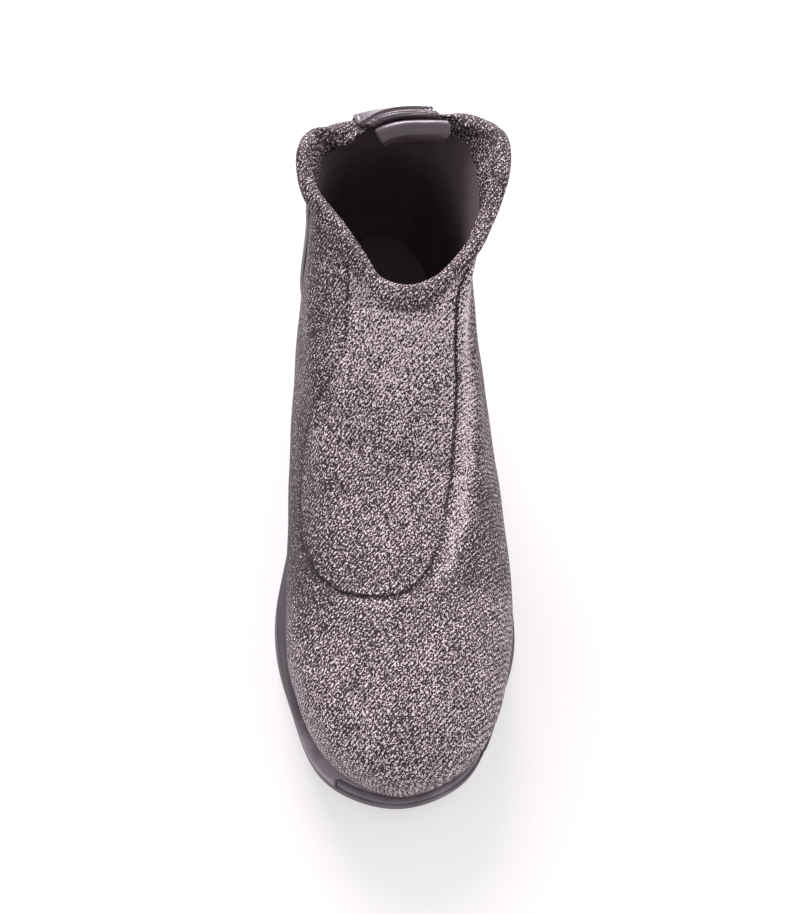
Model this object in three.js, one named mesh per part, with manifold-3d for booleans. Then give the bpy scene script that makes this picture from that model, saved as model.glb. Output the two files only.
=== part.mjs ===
// Wedge ankle boot for the left foot: a stretch-knit sock upper with a sewn-in instep panel and a rolled
// collar, a leather heel counter, back strip and collar tab, and a moulded rubber wedge on a thin outsole.
// Millimetres, +Z up, toe towards -Y, medial side towards -X, origin on the floor under the middle.
import * as THREE from "three";
import { mergeVertices } from "three/addons/utils/BufferGeometryUtils.js";
import Module from "manifold-3d";

const wasm = await Module();
wasm.setup();

// Driving sizes of the sole
const SOLE_LENGTH = 260;
const SOLE_WIDTH = 98;
const SOLE_HEEL_WIDTH = 67;
const SOLE_WAIST_WIDTH = 63;
const HEEL_LIFT = 42;
const BALL_LIFT = 14.5;
const TOE_LIFT = 16;
const TOE_SPRING = 8;
const HEEL_BEVEL = 1.5;
const OUTSOLE_THICKNESS = 4;
const BUMPER_THICKNESS = 2.2;
const BUMPER_EDGE = 0.6;
const RAND_HEIGHT = 5;
const RAND_LINE = 0.8;
const GROOVE_WIDTH = 3;
const GROOVE_DEPTH = 1.8;
const GROOVE_PITCH = 11;
const GROOVE_EDGE = 9;

// Driving sizes of the upper, taken over its outer face
const BALL_WIDTH = 89;
const WAIST_WIDTH = 77;
const HEEL_WIDTH = 61;
const SHAFT_WIDTH = 77;
const BACK_HEIGHT = 97;
const SIDE_HEIGHT = 96;
const FRONT_HEIGHT = 94;
const COLLAR_LEAN = 5.5;
const COLLAR_TILT = 2;
const UPPER_WALL = 2.6;
const CUFF_HEIGHT = 10;
const CUFF_THICKNESS = 6.6;
const COUNTER_THICKNESS = 1.3;
const STRIP_WIDTH = 29;
const STRIP_THICKNESS = 1.3;
const STRIP_TAIL = 9;
const TAB_WIDTH = 33;
const TAB_HEIGHT = 12;
const TAB_DEPTH = 7;
const TAB_DROP = 4.8;
const TAB_SHIFT = 2.5;
const PANEL_WIDTH = 58;
const PANEL_LENGTH = 104.5;
const PANEL_THICKNESS = 1.2;
const PANEL_DEPTH = 90;
const INSOLE_THICKNESS = 3;
const GAP = 0.3;

// Samples round a closed form and up its wall
const AROUND = 64;
const UPPER_ROWS = 12;

const smooth = (t) => {
  const c = Math.min(1, Math.max(0, t));
  return c * c * (3 - 2 * c);
};
const ramp = (t) => Math.max(0, t) ** 2;
const shareAt = (y) => 0.5 - y / SOLE_LENGTH;
const yAt = (share) => SOLE_LENGTH * (0.5 - share);

// Height of the line where the upper meets the sole, and of the sole's underside, at a place along the shoe
const featherHeight = (y) => {
  const s = shareAt(y);
  return (
    BALL_LIFT + (HEEL_LIFT - BALL_LIFT) * smooth((0.62 - s) / 0.49) + (TOE_LIFT - BALL_LIFT) * ramp((s - 0.72) / 0.28)
  );
};
const undersideHeight = (y) => {
  const s = shareAt(y);
  return TOE_SPRING * ramp((s - 0.77) / 0.23) + HEEL_BEVEL * ramp((0.07 - s) / 0.07);
};

// The last's middle line swings to the lateral side at the ball and back to the medial side at the toe
const middleLine = (y) => {
  const s = shareAt(y);
  return SOLE_WIDTH * (-0.046 * smooth((0.64 - s) / 0.4) - 0.02 * smooth((s - 0.7) / 0.25));
};

// Stations of every ring, as shares of the ring's own length from its back
const STATIONS = { corner: 0.035, heel: 0.14, waist: 0.38, ball: 0.67, side: 0.84, toe: 0.955 };
const BACK_CORNER = 0.6;

// Rings of the upper from the feather line to the collar. back and front are shares of SOLE_LENGTH,
// hBack, hSide and hFront of the three heights, heel, waist, ball, side and toe of the half widths. skew is
// the share by which the medial half widths at ball and side fall short of the lateral ones.
const FOOT_RINGS = [
  { back: 0.031, front: 0.993, hBack: 0.0, hSide: 0.0, hFront: 0.0, heel: 0.864, waist: 0.82, ball: 0.944, side: 0.867, toe: 0.567, lean: 0 },
  { back: 0.019, front: 0.998, hBack: 0.115, hSide: 0.12, hFront: 0.07, heel: 0.955, waist: 0.93, ball: 0.989, side: 0.922, toe: 0.622, lean: 0 },
  { back: 0.0155, front: 0.998, hBack: 0.245, hSide: 0.235, hFront: 0.155, heel: 1.0, waist: 1.0, ball: 1.0, side: 0.933, toe: 0.633, lean: 0 },
  { back: 0.019, front: 0.985, hBack: 0.385, hSide: 0.365, hFront: 0.235, heel: 0.985, waist: 0.995, ball: 0.967, side: 0.889, toe: 0.589, lean: 0 },
  { back: 0.03, front: 0.946, hBack: 0.51, hSide: 0.485, hFront: 0.31, heel: 0.97, waist: 0.945, ball: 0.878, side: 0.78, toe: 0.49, lean: 0 },
  { back: 0.0425, front: 0.876, hBack: 0.625, hSide: 0.595, hFront: 0.4, heel: 0.955, waist: 0.89, ball: 0.767, side: 0.622, toe: 0.378, lean: 0 },
  { back: 0.051, front: 0.771, hBack: 0.72, hSide: 0.69, hFront: 0.505, heel: 0.94, waist: 0.85, ball: 0.69, side: 0.533, toe: 0.311, lean: 0.02 },
];
const SHAFT_RINGS = [
  { back: 0.055, front: 0.655, hBack: 0.8, hSide: 0.77, hFront: 0.625, heel: 0.755, waist: 0.82, ball: 0.68, side: 0.52, toe: 0.3, lean: 0.1 },
  { back: 0.06, front: 0.535, hBack: 0.875, hSide: 0.85, hFront: 0.755, heel: 0.78, waist: 0.835, ball: 0.68, side: 0.5, toe: 0.29, lean: 0.3, skew: 0.05 },
  { back: 0.075, front: 0.43, hBack: 0.94, hSide: 0.93, hFront: 0.88, heel: 0.86, waist: 0.92, ball: 0.72, side: 0.5, toe: 0.28, lean: 0.65, skew: 0.14 },
  { back: 0.092, front: 0.357, hBack: 1.0, hSide: 1.0, hFront: 0.975, heel: 1.0, waist: 1.03, ball: 0.79, side: 0.53, toe: 0.28, lean: 1.0, skew: 0.2 },
];

// Half widths of the sole, as shares of the sole's own widths, at the floor and at the feather line
const SOLE_RINGS = {
  floor: { back: 0.0, front: 1.0, heel: 1.0, waist: 1.0, ball: 1.0, side: 0.83, toe: 0.55 },
  top: { back: 0.021, front: 0.999, heel: 0.925, waist: 1.09, ball: 0.913, side: 0.84, toe: 0.575 },
};

// One cubic through four values, smooth where it meets the next one
const through = (a, b, c, d, t) =>
  b + 0.5 * t * (c - a + t * (2 * a - 5 * b + 4 * c - d + t * (3 * (b - c) + d - a)));

// The control points of a ring, from its back round the medial side to its front and back round the lateral
function ringPoints(ring, half, height, shift, tilt) {
  const back = yAt(ring.back);
  const length = back - yAt(ring.front);
  const at = { ...STATIONS };
  const widths = {
    corner: BACK_CORNER * ring.heel * half.heel,
    heel: ring.heel * half.heel,
    waist: ring.waist * half.waist,
    ball: ring.ball * half.ball,
    side: ring.side * half.ball,
    toe: ring.toe * half.ball,
  };
  const point = (share, offset) => {
    const y = back - share * length;
    return [middleLine(y) + shift + offset, y, height(share) + (tilt * offset) / half.ball];
  };
  const names = Object.keys(widths);
  const kept = (n) => (n === "ball" || n === "side" ? 1 - (ring.skew ?? 0) : 1);
  const medial = names.map((n) => point(at[n], -widths[n] * kept(n)));
  const lateral = names.map((n) => point(at[n], widths[n])).reverse();
  return [point(0, 0), ...medial, point(1, 0), ...lateral];
}

// A point on a closed smooth curve through the control points, with u running from 0 to 1
function onRing(points, u) {
  const n = points.length;
  const place = (((u % 1) + 1) % 1) * n;
  const i = Math.floor(place);
  const t = place - i;
  return [0, 1, 2].map((k) =>
    through(points[(i + n - 1) % n][k], points[i % n][k], points[(i + 1) % n][k], points[(i + 2) % n][k], t),
  );
}

// Heights above the feather line follow a parabola from back to side to front
const FOOT_HALF = { heel: HEEL_WIDTH / 2, waist: WAIST_WIDTH / 2, ball: BALL_WIDTH / 2 };
const SHAFT_HALF = { heel: SHAFT_WIDTH / 2, waist: SHAFT_WIDTH / 2, ball: SHAFT_WIDTH / 2 };
const upperRing = (ring, half) =>
  ringPoints(
    ring,
    half,
    (s) =>
      ring.hBack * BACK_HEIGHT * (1 - s) * (1 - 2 * s) +
      ring.hSide * SIDE_HEIGHT * 4 * s * (1 - s) +
      ring.hFront * FRONT_HEIGHT * s * (2 * s - 1),
    ring.lean * COLLAR_LEAN,
    ring.lean * COLLAR_TILT,
  );
const UPPER_CONTROL = [
  ...FOOT_RINGS.map((r) => upperRing(r, FOOT_HALF)),
  ...SHAFT_RINGS.map((r) => upperRing(r, SHAFT_HALF)),
];

// A point of the upper's outer face: u runs round from the back by the medial side, v from feather to collar
function upperFace(u, v) {
  const last = UPPER_CONTROL.length - 1;
  const place = Math.min(Math.max(v, 0), 1) * last;
  const j = Math.min(Math.floor(place), last - 1);
  const t = place - j;
  const row = (k) => {
    if (k < 0) return onRing(UPPER_CONTROL[0], u).map((x, n) => 2 * x - onRing(UPPER_CONTROL[1], u)[n]);
    if (k > last) return onRing(UPPER_CONTROL[last], u).map((x, n) => 2 * x - onRing(UPPER_CONTROL[last - 1], u)[n]);
    return onRing(UPPER_CONTROL[k], u);
  };
  const [a, b, c, d] = [row(j - 1), row(j), row(j + 1), row(j + 2)];
  const [x, y, h] = [0, 1, 2].map((n) => through(a[n], b[n], c[n], d[n], t));
  return new THREE.Vector3(x, y, featherHeight(y) + h);
}

// The outward normal there, laid level at the feather line so that a wall's lower edge stays on the sole
function upperNormal(u, v) {
  const step = 1e-3;
  const level = 0.06;
  const w = Math.min(Math.max(v, step), 1 - step);
  const round = upperFace(u + step, w).sub(upperFace(u - step, w));
  const up = upperFace(u, w + step).sub(upperFace(u, w - step));
  const n = round.cross(up).normalize();
  n.z *= smooth(v / level);
  return n.normalize();
}
const upperPoint = (u, v, out) => {
  const p = upperFace(u, v).addScaledVector(upperNormal(u, v), out);
  if (v <= 0) p.z = featherHeight(p.y);
  return p;
};

// Solids
const solidOf = (geometry) => {
  const bare = geometry.index ? geometry.toNonIndexed() : geometry.clone();
  bare.deleteAttribute("normal");
  bare.deleteAttribute("uv");
  const merged = mergeVertices(bare, 1e-4);
  return new wasm.Manifold(
    new wasm.Mesh({
      numProp: 3,
      vertProperties: new Float32Array(merged.attributes.position.array),
      triVerts: new Uint32Array(merged.index.array),
    }),
  );
};
const solidFrom = (points, triangles) => {
  const g = new THREE.BufferGeometry();
  g.setAttribute("position", new THREE.Float32BufferAttribute(points.flatMap((p) => [p.x, p.y, p.z]), 3));
  g.setIndex(triangles);
  return solidOf(g);
};
const geometryOf = (solid) => {
  const m = solid.getMesh();
  const count = m.vertProperties.length / m.numProp;
  const position = new Float32Array(count * 3);
  for (let i = 0; i < count; i++) position.set(m.vertProperties.subarray(i * m.numProp, i * m.numProp + 3), 3 * i);
  const g = new THREE.BufferGeometry();
  g.setAttribute("position", new THREE.BufferAttribute(position, 3));
  g.setIndex(new THREE.BufferAttribute(new Uint32Array(m.triVerts), 1));
  g.computeVertexNormals();
  return g;
};

// A solid from closed rings of equal count, stacked upwards and closed by strips between opposite points
function stacked(rings) {
  const n = rings[0].length;
  const at = (j, i) => j * n + (i % n);
  const faces = [];
  for (let j = 0; j + 1 < rings.length; j++)
    for (let i = 0; i < n; i++)
      faces.push(at(j, i), at(j, i + 1), at(j + 1, i + 1), at(j, i), at(j + 1, i + 1), at(j + 1, i));
  const top = rings.length - 1;
  for (let i = 0; i < n / 2; i++) {
    const [a, b, c, d] = [i, i + 1, n - i - 1, (n - i) % n];
    if (b !== c) faces.push(at(top, a), at(top, b), at(top, c), at(0, b), at(0, a), at(0, c));
    if (a !== d) faces.push(at(top, a), at(top, c), at(top, d), at(0, c), at(0, a), at(0, d));
  }
  return solidFrom(rings.flat(), faces);
}

// A solid swept by a closed section: sections[i] is a loop, and the sweep closes on itself or gets end faces
function swept(sections, closed) {
  const n = sections.length;
  const m = sections[0].length;
  const at = (i, k) => (i % n) * m + (k % m);
  const faces = [];
  for (let i = 0; i < (closed ? n : n - 1); i++)
    for (let k = 0; k < m; k++)
      faces.push(at(i, k), at(i + 1, k), at(i + 1, k + 1), at(i, k), at(i + 1, k + 1), at(i, k + 1));
  if (!closed)
    for (let k = 0; k + 1 < m / 2; k++) {
      const [a, b, c, d] = [k, k + 1, m - k - 2, m - k - 1];
      faces.push(at(0, a), at(0, b), at(0, c), at(0, a), at(0, c), at(0, d));
      faces.push(at(n - 1, b), at(n - 1, a), at(n - 1, c), at(n - 1, c), at(n - 1, a), at(n - 1, d));
    }
  return solidFrom(sections.flat(), faces);
}

// Sole: one outer form shared by the wedge, the outsole and the toe bumper
const BEVEL_SHARE = 0.72;
const SOLE_HALF = { heel: SOLE_HEEL_WIDTH / 2, waist: SOLE_WAIST_WIDTH / 2, ball: SOLE_WIDTH / 2 };
const level = () => 0;
const FLOOR_CONTROL = ringPoints(SOLE_RINGS.floor, SOLE_HALF, level, 0, 0);
const TOP_CONTROL = ringPoints(SOLE_RINGS.top, SOLE_HALF, level, 0, 0);

// A point of the sole's side at height z, moved in by inset. A bevel of RAND_HEIGHT runs round under the top edge,
// and below it the side flares out to the floor. A plain side has no bevel.
function soleEdge(u, z, inset, plain) {
  const low = onRing(FLOOR_CONTROL, u);
  const high = onRing(TOP_CONTROL, u);
  const top = featherHeight(low[1]) - z(low[1]);
  const full = featherHeight(low[1]) - undersideHeight(low[1]);
  const bevel = (BEVEL_SHARE * Math.min(top, RAND_HEIGHT)) / RAND_HEIGHT;
  const flare = ((1 - BEVEL_SHARE) * Math.max(0, top - RAND_HEIGHT)) / (full - RAND_HEIGHT);
  const mix = plain ? 1 : Math.min(1, Math.max(0, bevel + flare));
  const [x, y] = [0, 1].map((k) => high[k] + (low[k] - high[k]) * mix);
  const step = 1e-3;
  const [ahead, behind] = [onRing(FLOOR_CONTROL, u + step), onRing(FLOOR_CONTROL, u - step)];
  const [tx, ty] = [ahead[0] - behind[0], ahead[1] - behind[1]];
  const size = Math.hypot(tx, ty);
  const [px, py] = [x - (inset * ty) / size, y + (inset * tx) / size];
  return new THREE.Vector3(px, py, z(py));
}
const soleRing = (height, inset, plain = false) =>
  Array.from({ length: AROUND }, (_, i) => soleEdge(i / AROUND, height, inset, plain));

const layerTop = (y) => undersideHeight(y) + OUTSOLE_THICKNESS;
const wedgeTop = (y) => featherHeight(y) - GAP;
const frontBlock = (y) => {
  const size = 2 * SOLE_LENGTH;
  const block = new THREE.BoxGeometry(size, size, size);
  block.translate(0, y - size / 2, 0);
  return solidOf(block);
};

// Toe bumper: the front of the outsole turned up over the wedge's toe, cut square at both corners
const BUMPER_FROM = yAt(0.915);
const bumperForm = (inset) =>
  stacked([soleRing((y) => layerTop(y) - 1, inset, true), soleRing((y) => wedgeTop(y), inset, true)]);
const wedgeCore = (inset) =>
  stacked([soleRing((y) => layerTop(y) - OUTSOLE_THICKNESS, inset), soleRing((y) => wedgeTop(y) + 1, inset)]);

function wedge() {
  const rand = (share) => (y) => wedgeTop(y) - RAND_HEIGHT + share * RAND_LINE;
  const form = stacked([
    soleRing((y) => layerTop(y) + GAP, 0),
    soleRing(rand(-1), 0),
    soleRing(rand(-0.5), RAND_LINE),
    soleRing(rand(0), RAND_LINE),
    soleRing(rand(0.5), 0),
    soleRing(wedgeTop, 0),
  ]);
  return form.subtract(frontBlock(BUMPER_FROM + GAP).subtract(wedgeCore(BUMPER_THICKNESS + GAP)));
}

function outsole() {
  const layer = stacked([soleRing(undersideHeight, 0), soleRing(layerTop, 0)]);
  const bumper = bumperForm(BUMPER_EDGE).intersect(frontBlock(BUMPER_FROM)).subtract(wedgeCore(BUMPER_THICKNESS));
  const inner = stacked([
    soleRing((y) => undersideHeight(y) - GROOVE_DEPTH, GROOVE_EDGE),
    soleRing(layerTop, GROOVE_EDGE),
  ]);
  const bars = [];
  const count = Math.floor((0.9 * SOLE_LENGTH) / GROOVE_PITCH);
  for (let k = 0; k < count; k++) {
    const y = yAt(0.05) - (k + 0.5) * GROOVE_PITCH;
    const s = shareAt(y);
    if (s > 0.34 && s < 0.5) continue;
    const bar = new THREE.BoxGeometry(2 * SOLE_WIDTH, GROOVE_WIDTH, 2 * GROOVE_DEPTH);
    bar.translate(0, y, undersideHeight(y));
    bars.push(solidOf(bar));
  }
  return layer.add(bumper).subtract(wasm.Manifold.union(bars).intersect(inner));
}

function insole() {
  const ring = (rise) =>
    Array.from({ length: AROUND }, (_, i) => {
      const p = upperPoint(i / AROUND, 0, -UPPER_WALL - GAP);
      p.z += rise;
      return p;
    });
  return stacked([ring(0), ring(INSOLE_THICKNESS)]);
}

// Places on the upper found by walking over its face: down from the collar, and round from the back
function vBelow(u, distance) {
  const step = 0.004;
  let v = 1;
  let left = distance;
  let from = upperFace(u, v);
  while (v > step) {
    const to = upperFace(u, v - step);
    const d = from.distanceTo(to);
    if (d >= left) return v - (step * left) / d;
    left -= d;
    v -= step;
    from = to;
  }
  return v;
}
function uAcross(v, distance) {
  const step = distance < 0 ? -0.003 : 0.003;
  let u = 0;
  let left = Math.abs(distance);
  let from = upperFace(u, v);
  while (Math.abs(u) < 0.5) {
    const to = upperFace(u + step, v);
    const d = from.distanceTo(to);
    if (d >= left) return u + (step * left) / d;
    left -= d;
    u += step;
    from = to;
  }
  return u;
}

// Rolled collar: rows of its section, as shares of CUFF_HEIGHT below the collar's top and of CUFF_THICKNESS out
const CUFF_ROWS = [
  { down: 1.02, out: 0.0 },
  { down: 0.96, out: 0.26 },
  { down: 0.75, out: 0.4 },
  { down: 0.45, out: 0.43 },
  { down: 0.2, out: 0.36 },
  { down: 0.05, out: 0.17 },
  { down: 0.0, out: -0.08 },
  { down: 0.05, out: -0.33 },
  { down: 0.2, out: -0.51 },
  { down: 0.45, out: -0.58 },
  { down: 0.75, out: -0.57 },
  { down: 0.96, out: -0.5 },
];

function upperBody() {
  const sections = [];
  for (let i = 0; i < AROUND; i++) {
    const u = i / AROUND;
    const foot = vBelow(u, CUFF_HEIGHT * CUFF_ROWS[0].down);
    const section = [];
    for (let j = 0; j < UPPER_ROWS; j++) section.push(upperPoint(u, (foot * j) / UPPER_ROWS, 0));
    for (const row of CUFF_ROWS) section.push(upperPoint(u, vBelow(u, CUFF_HEIGHT * row.down), CUFF_THICKNESS * row.out));
    for (let j = UPPER_ROWS - 1; j >= 0; j--) section.push(upperPoint(u, (foot * j) / UPPER_ROWS, -UPPER_WALL));
    sections.push(section);
  }
  return swept(sections, true);
}

// A layer over the whole upper, from one depth to another, up to a little below the collar's roll
function upperLayer(outside, inside, below) {
  const sections = [];
  for (let i = 0; i < AROUND; i++) {
    const u = i / AROUND;
    const foot = vBelow(u, CUFF_HEIGHT * CUFF_ROWS[0].down + below);
    const section = [];
    for (let j = 0; j <= UPPER_ROWS; j++) section.push(upperPoint(u, (foot * j) / UPPER_ROWS, outside));
    for (let j = UPPER_ROWS; j >= 0; j--) section.push(upperPoint(u, (foot * j) / UPPER_ROWS, inside));
    sections.push(section);
  }
  return swept(sections, true);
}

// The instep panel is let into the upper's outer layer, with its edge cut by a prism square to the instep. Rows
// run from the collar to the toe end: shares of PANEL_LENGTH along, and of PANEL_WIDTH either side of the middle.
const PANEL_ROWS = [
  { along: -0.25, medial: -0.3, lateral: 0.46 },
  { along: 0.0, medial: -0.32, lateral: 0.45 },
  { along: 0.1, medial: -0.35, lateral: 0.42 },
  { along: 0.22, medial: -0.46, lateral: 0.395 },
  { along: 0.34, medial: -0.575, lateral: 0.37 },
  { along: 0.48, medial: -0.64, lateral: 0.345 },
  { along: 0.64, medial: -0.67, lateral: 0.3 },
  { along: 0.8, medial: -0.66, lateral: 0.24 },
  { along: 0.92, medial: -0.57, lateral: 0.14 },
  { along: 0.985, medial: -0.4, lateral: 0.0 },
];
const PANEL_FOOT = { y: yAt(0.736), z: 60 };
const PANEL_HEAD = { y: yAt(0.397), z: 112 };
const PANEL_TILT = Math.atan2(PANEL_HEAD.z - PANEL_FOOT.z, PANEL_HEAD.y - PANEL_FOOT.y);

function panelPrism(margin) {
  const place = (share, along) => {
    const y = PANEL_HEAD.y - along * PANEL_LENGTH * Math.cos(PANEL_TILT);
    return new THREE.Vector2(share * PANEL_WIDTH + middleLine(y), -along * PANEL_LENGTH);
  };
  const medial = PANEL_ROWS.map((r) => place(r.medial, r.along).add(new THREE.Vector2(-margin, 0)));
  const lateral = PANEL_ROWS.map((r) => place(r.lateral, r.along).add(new THREE.Vector2(margin, 0)));
  const tip = place(-0.2, 1).add(new THREE.Vector2(0, -margin));
  const shape = new THREE.Shape();
  shape.moveTo(lateral[0].x, lateral[0].y);
  shape.lineTo(medial[0].x, medial[0].y);
  shape.splineThru([...medial.slice(1), tip, ...lateral.slice(1).reverse()]);
  const g = new THREE.ExtrudeGeometry(shape, { depth: PANEL_DEPTH, bevelEnabled: false, curveSegments: 2 });
  g.translate(0, 0, -PANEL_DEPTH / 2);
  g.rotateX(PANEL_TILT);
  g.translate(0, PANEL_HEAD.y, PANEL_HEAD.z);
  return solidOf(g);
}

// Leather counter round the heel, from the sole to the collar's roll, with an upright front edge
const COUNTER_FRONT = yAt(0.212);
const counter = () =>
  upperLayer(GAP + COUNTER_THICKNESS, GAP, GAP).subtract(frontBlock(COUNTER_FRONT));

// Back strip: up the heel over the counter, over the collar and down inside it, STRIP_WIDTH wide
const STRIP_COLUMNS = 8;
const STRIP_LEVELS = 12;
const CUFF_OUT = CUFF_THICKNESS * 0.43;
const CUFF_IN = CUFF_THICKNESS * 0.58;
const STRIP_LOW = GAP + COUNTER_THICKNESS + GAP;
const STRIP_OUT = Math.max(STRIP_LOW, CUFF_OUT + GAP);

// A point over the collar's top, out and up from the middle of its edge
function collarPoint(u, out, up) {
  const edge = upperFace(u, 1);
  const rise = edge.clone().sub(upperFace(u, 0.99)).normalize();
  return edge.addScaledVector(upperNormal(u, 1), out).addScaledVector(rise, up);
}
function strip() {
  const middle = (CUFF_OUT - CUFF_IN) / 2;
  const reach = (CUFF_OUT + CUFF_IN) / 2 + GAP;
  const [low, high] = [vBelow(0, 2.1 * CUFF_HEIGHT), vBelow(0, 1.05 * CUFF_HEIGHT)];
  const out = (v) => STRIP_LOW + (STRIP_OUT - STRIP_LOW) * smooth((v - low) / (high - low));
  const line = (w, extra) => {
    const across = w * (STRIP_WIDTH / 2);
    const points = [];
    const crown = uAcross(1, across);
    const foot = vBelow(0, reach * 0.6);
    for (let j = 0; j <= STRIP_LEVELS; j++) {
      const v = (foot * j) / STRIP_LEVELS;
      points.push(upperPoint(uAcross(v, across), v, out(v) + extra));
    }
    for (let j = 1; j < 6; j++) {
      const turn = (Math.PI * j) / 6;
      const wide = reach + extra;
      points.push(collarPoint(crown, middle + wide * Math.cos(turn), -reach * 0.5 + (wide + reach * 0.5 - 0.4) * Math.sin(turn)));
    }
    for (let j = 0; j <= 2; j++) points.push(collarPoint(crown, middle - reach - extra, -reach * 0.5 - (STRIP_TAIL * j) / 2));
    return points;
  };
  const sections = [];
  for (let i = 0; i <= STRIP_COLUMNS; i++) {
    const w = (2 * i) / STRIP_COLUMNS - 1;
    sections.push([...line(w, STRIP_THICKNESS), ...line(w, 0).reverse()]);
  }
  return swept(sections, false);
}

// Collar tab: a thick roll of leather hung inside the collar's back, over the strip's inner end
const TAB_TURNS = 16;
const TAB_COLUMNS = 6;
function tab() {
  const centre = -CUFF_IN - 2 * GAP - STRIP_THICKNESS - TAB_DEPTH / 2;
  const sections = [];
  for (let k = 0; k <= TAB_COLUMNS; k++) {
    const u = uAcross(1, ((2 * k) / TAB_COLUMNS - 1) * (TAB_WIDTH / 2) - TAB_SHIFT);
    sections.push(
      Array.from({ length: TAB_TURNS }, (_, i) => {
        const turn = (2 * Math.PI * (i + 0.5)) / TAB_TURNS;
        return collarPoint(u, centre + (TAB_DEPTH / 2) * Math.cos(turn), -TAB_DROP + (TAB_HEIGHT / 2) * Math.sin(turn));
      }),
    );
  }
  return swept(sections, false);
}

// Assembly
const pocket = upperLayer(1, -PANEL_THICKNESS - GAP, 0).intersect(panelPrism(GAP));
const MATERIALS = {
  rubber: { color: 0x4f464b, roughness: 0.62, metalness: 0 },
  tread: { color: 0x463e42, roughness: 0.7, metalness: 0 },
  knit: { color: 0x8d7f84, roughness: 0.55, metalness: 0.35 },
  leather: { color: 0x2e2529, roughness: 0.38, metalness: 0 },
  lining: { color: 0x2a2124, roughness: 0.9, metalness: 0 },
};
const PARTS = {
  outsole: { solid: outsole(), material: "tread" },
  wedge_midsole: { solid: wedge(), material: "rubber" },
  insole: { solid: insole(), material: "lining" },
  upper_knit: { solid: upperBody().subtract(pocket), material: "knit" },
  instep_panel: { solid: upperLayer(0, -PANEL_THICKNESS, GAP).intersect(panelPrism(0)), material: "knit" },
  heel_counter: { solid: counter(), material: "leather" },
  back_strip: { solid: strip(), material: "leather" },
  collar_tab: { solid: tab(), material: "leather" },
};

const group = new THREE.Group();
group.name = "wedge_ankle_boot";
for (const [name, { solid, material }] of Object.entries(PARTS)) {
  const mesh = new THREE.Mesh(geometryOf(solid), new THREE.MeshStandardMaterial(MATERIALS[material]));
  mesh.name = name;
  group.add(mesh);
}
export default group;
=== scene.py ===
import math

import bmesh
import bpy
import numpy as np
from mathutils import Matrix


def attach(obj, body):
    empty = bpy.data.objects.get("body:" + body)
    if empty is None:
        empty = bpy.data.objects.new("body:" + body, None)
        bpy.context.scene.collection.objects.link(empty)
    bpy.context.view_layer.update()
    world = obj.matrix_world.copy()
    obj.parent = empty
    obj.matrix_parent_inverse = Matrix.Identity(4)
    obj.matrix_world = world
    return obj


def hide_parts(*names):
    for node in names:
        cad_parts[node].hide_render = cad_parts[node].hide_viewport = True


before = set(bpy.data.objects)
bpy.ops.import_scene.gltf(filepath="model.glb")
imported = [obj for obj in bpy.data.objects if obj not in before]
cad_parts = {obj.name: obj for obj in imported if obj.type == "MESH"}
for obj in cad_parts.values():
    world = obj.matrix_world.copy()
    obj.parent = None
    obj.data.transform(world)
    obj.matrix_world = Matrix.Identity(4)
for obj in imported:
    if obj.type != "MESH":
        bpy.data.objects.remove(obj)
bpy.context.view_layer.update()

# Camera
# The photograph is taken from in front and above, about 60 degrees over level and 0.8 m from the shoe.
camera = bpy.data.objects.new("Camera", bpy.data.cameras.new("Camera"))
bpy.context.collection.objects.link(camera)
bpy.context.scene.camera = camera
camera.location = (-0.0475, -0.4016, 0.7342)
camera.data.sensor_width = 36
camera.data.lens = 78
camera.data.clip_start = 0.01
camera.rotation_euler = (math.radians(30.667), math.radians(-3.024), math.radians(-1.77))

# Floor
# A wide light table of opal sheet, lit evenly from below so that shadows on it stay pale. It runs out of view
# on every side.
FLOOR_SIZE = 6.0
FLOOR_GREYS = ("#9e9c9d", "#a2a0a1")
FLOOR_GLOW = 0.58
scene = bpy.context.scene
scene.view_settings.view_transform = "Standard"


def linear(colour):
    """An sRGB hex colour as linear red, green, blue and 1: each part c is ((c + 0.055) / 1.055) ^ 2.4."""
    parts = [int(colour[i : i + 2], 16) / 255 for i in (1, 3, 5)]
    return (*[c / 12.92 if c <= 0.04045 else ((c + 0.055) / 1.055) ** 2.4 for c in parts], 1.0)


def finish_of(name):
    """A new material, with its node tree and its main shader."""
    material = bpy.data.materials.new(name)
    material.use_nodes = True
    return material, material.node_tree, material.node_tree.nodes["Principled BSDF"]


def add(tree, kind, links=None, inputs=None, ramp=None, **settings):
    """Adds one node to a tree, with its settings, its input values, its ramp stops and its input links."""
    node = tree.nodes.new(kind)
    for name, value in settings.items():
        setattr(node, name, value)
    for name, value in (inputs or {}).items():
        node.inputs[name].default_value = value
    if ramp:
        while len(node.color_ramp.elements) < len(ramp):
            node.color_ramp.elements.new(1.0)
        for stop, (place, colour) in zip(node.color_ramp.elements, ramp):
            stop.position = place
            stop.color = linear(colour)
    for name, socket in (links or {}).items():
        tree.links.new(socket, node.inputs[name])
    return node


# Opal acrylic sheet, sanded matt, which glows evenly and takes only a soft, thin shadow
opal, tree, shader = finish_of("matt_opal_acrylic")
shader.inputs["Roughness"].default_value = 0.8
shader.inputs["Specular IOR Level"].default_value = 0.2
shader.inputs["Emission Color"].default_value = linear("#fffdfe")
shader.inputs["Emission Strength"].default_value = FLOOR_GLOW
where = add(tree, "ShaderNodeTexCoord")
tooth = add(
    tree,
    "ShaderNodeTexNoise",
    {"Vector": where.outputs["Object"]},
    {"Scale": 900.0, "Detail": 2.0},
)
tone = add(
    tree,
    "ShaderNodeValToRGB",
    {"Fac": tooth.outputs["Fac"]},
    ramp=[(0.3, FLOOR_GREYS[0]), (0.7, FLOOR_GREYS[1])],
)
tree.links.new(tone.outputs["Color"], shader.inputs["Base Color"])

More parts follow.
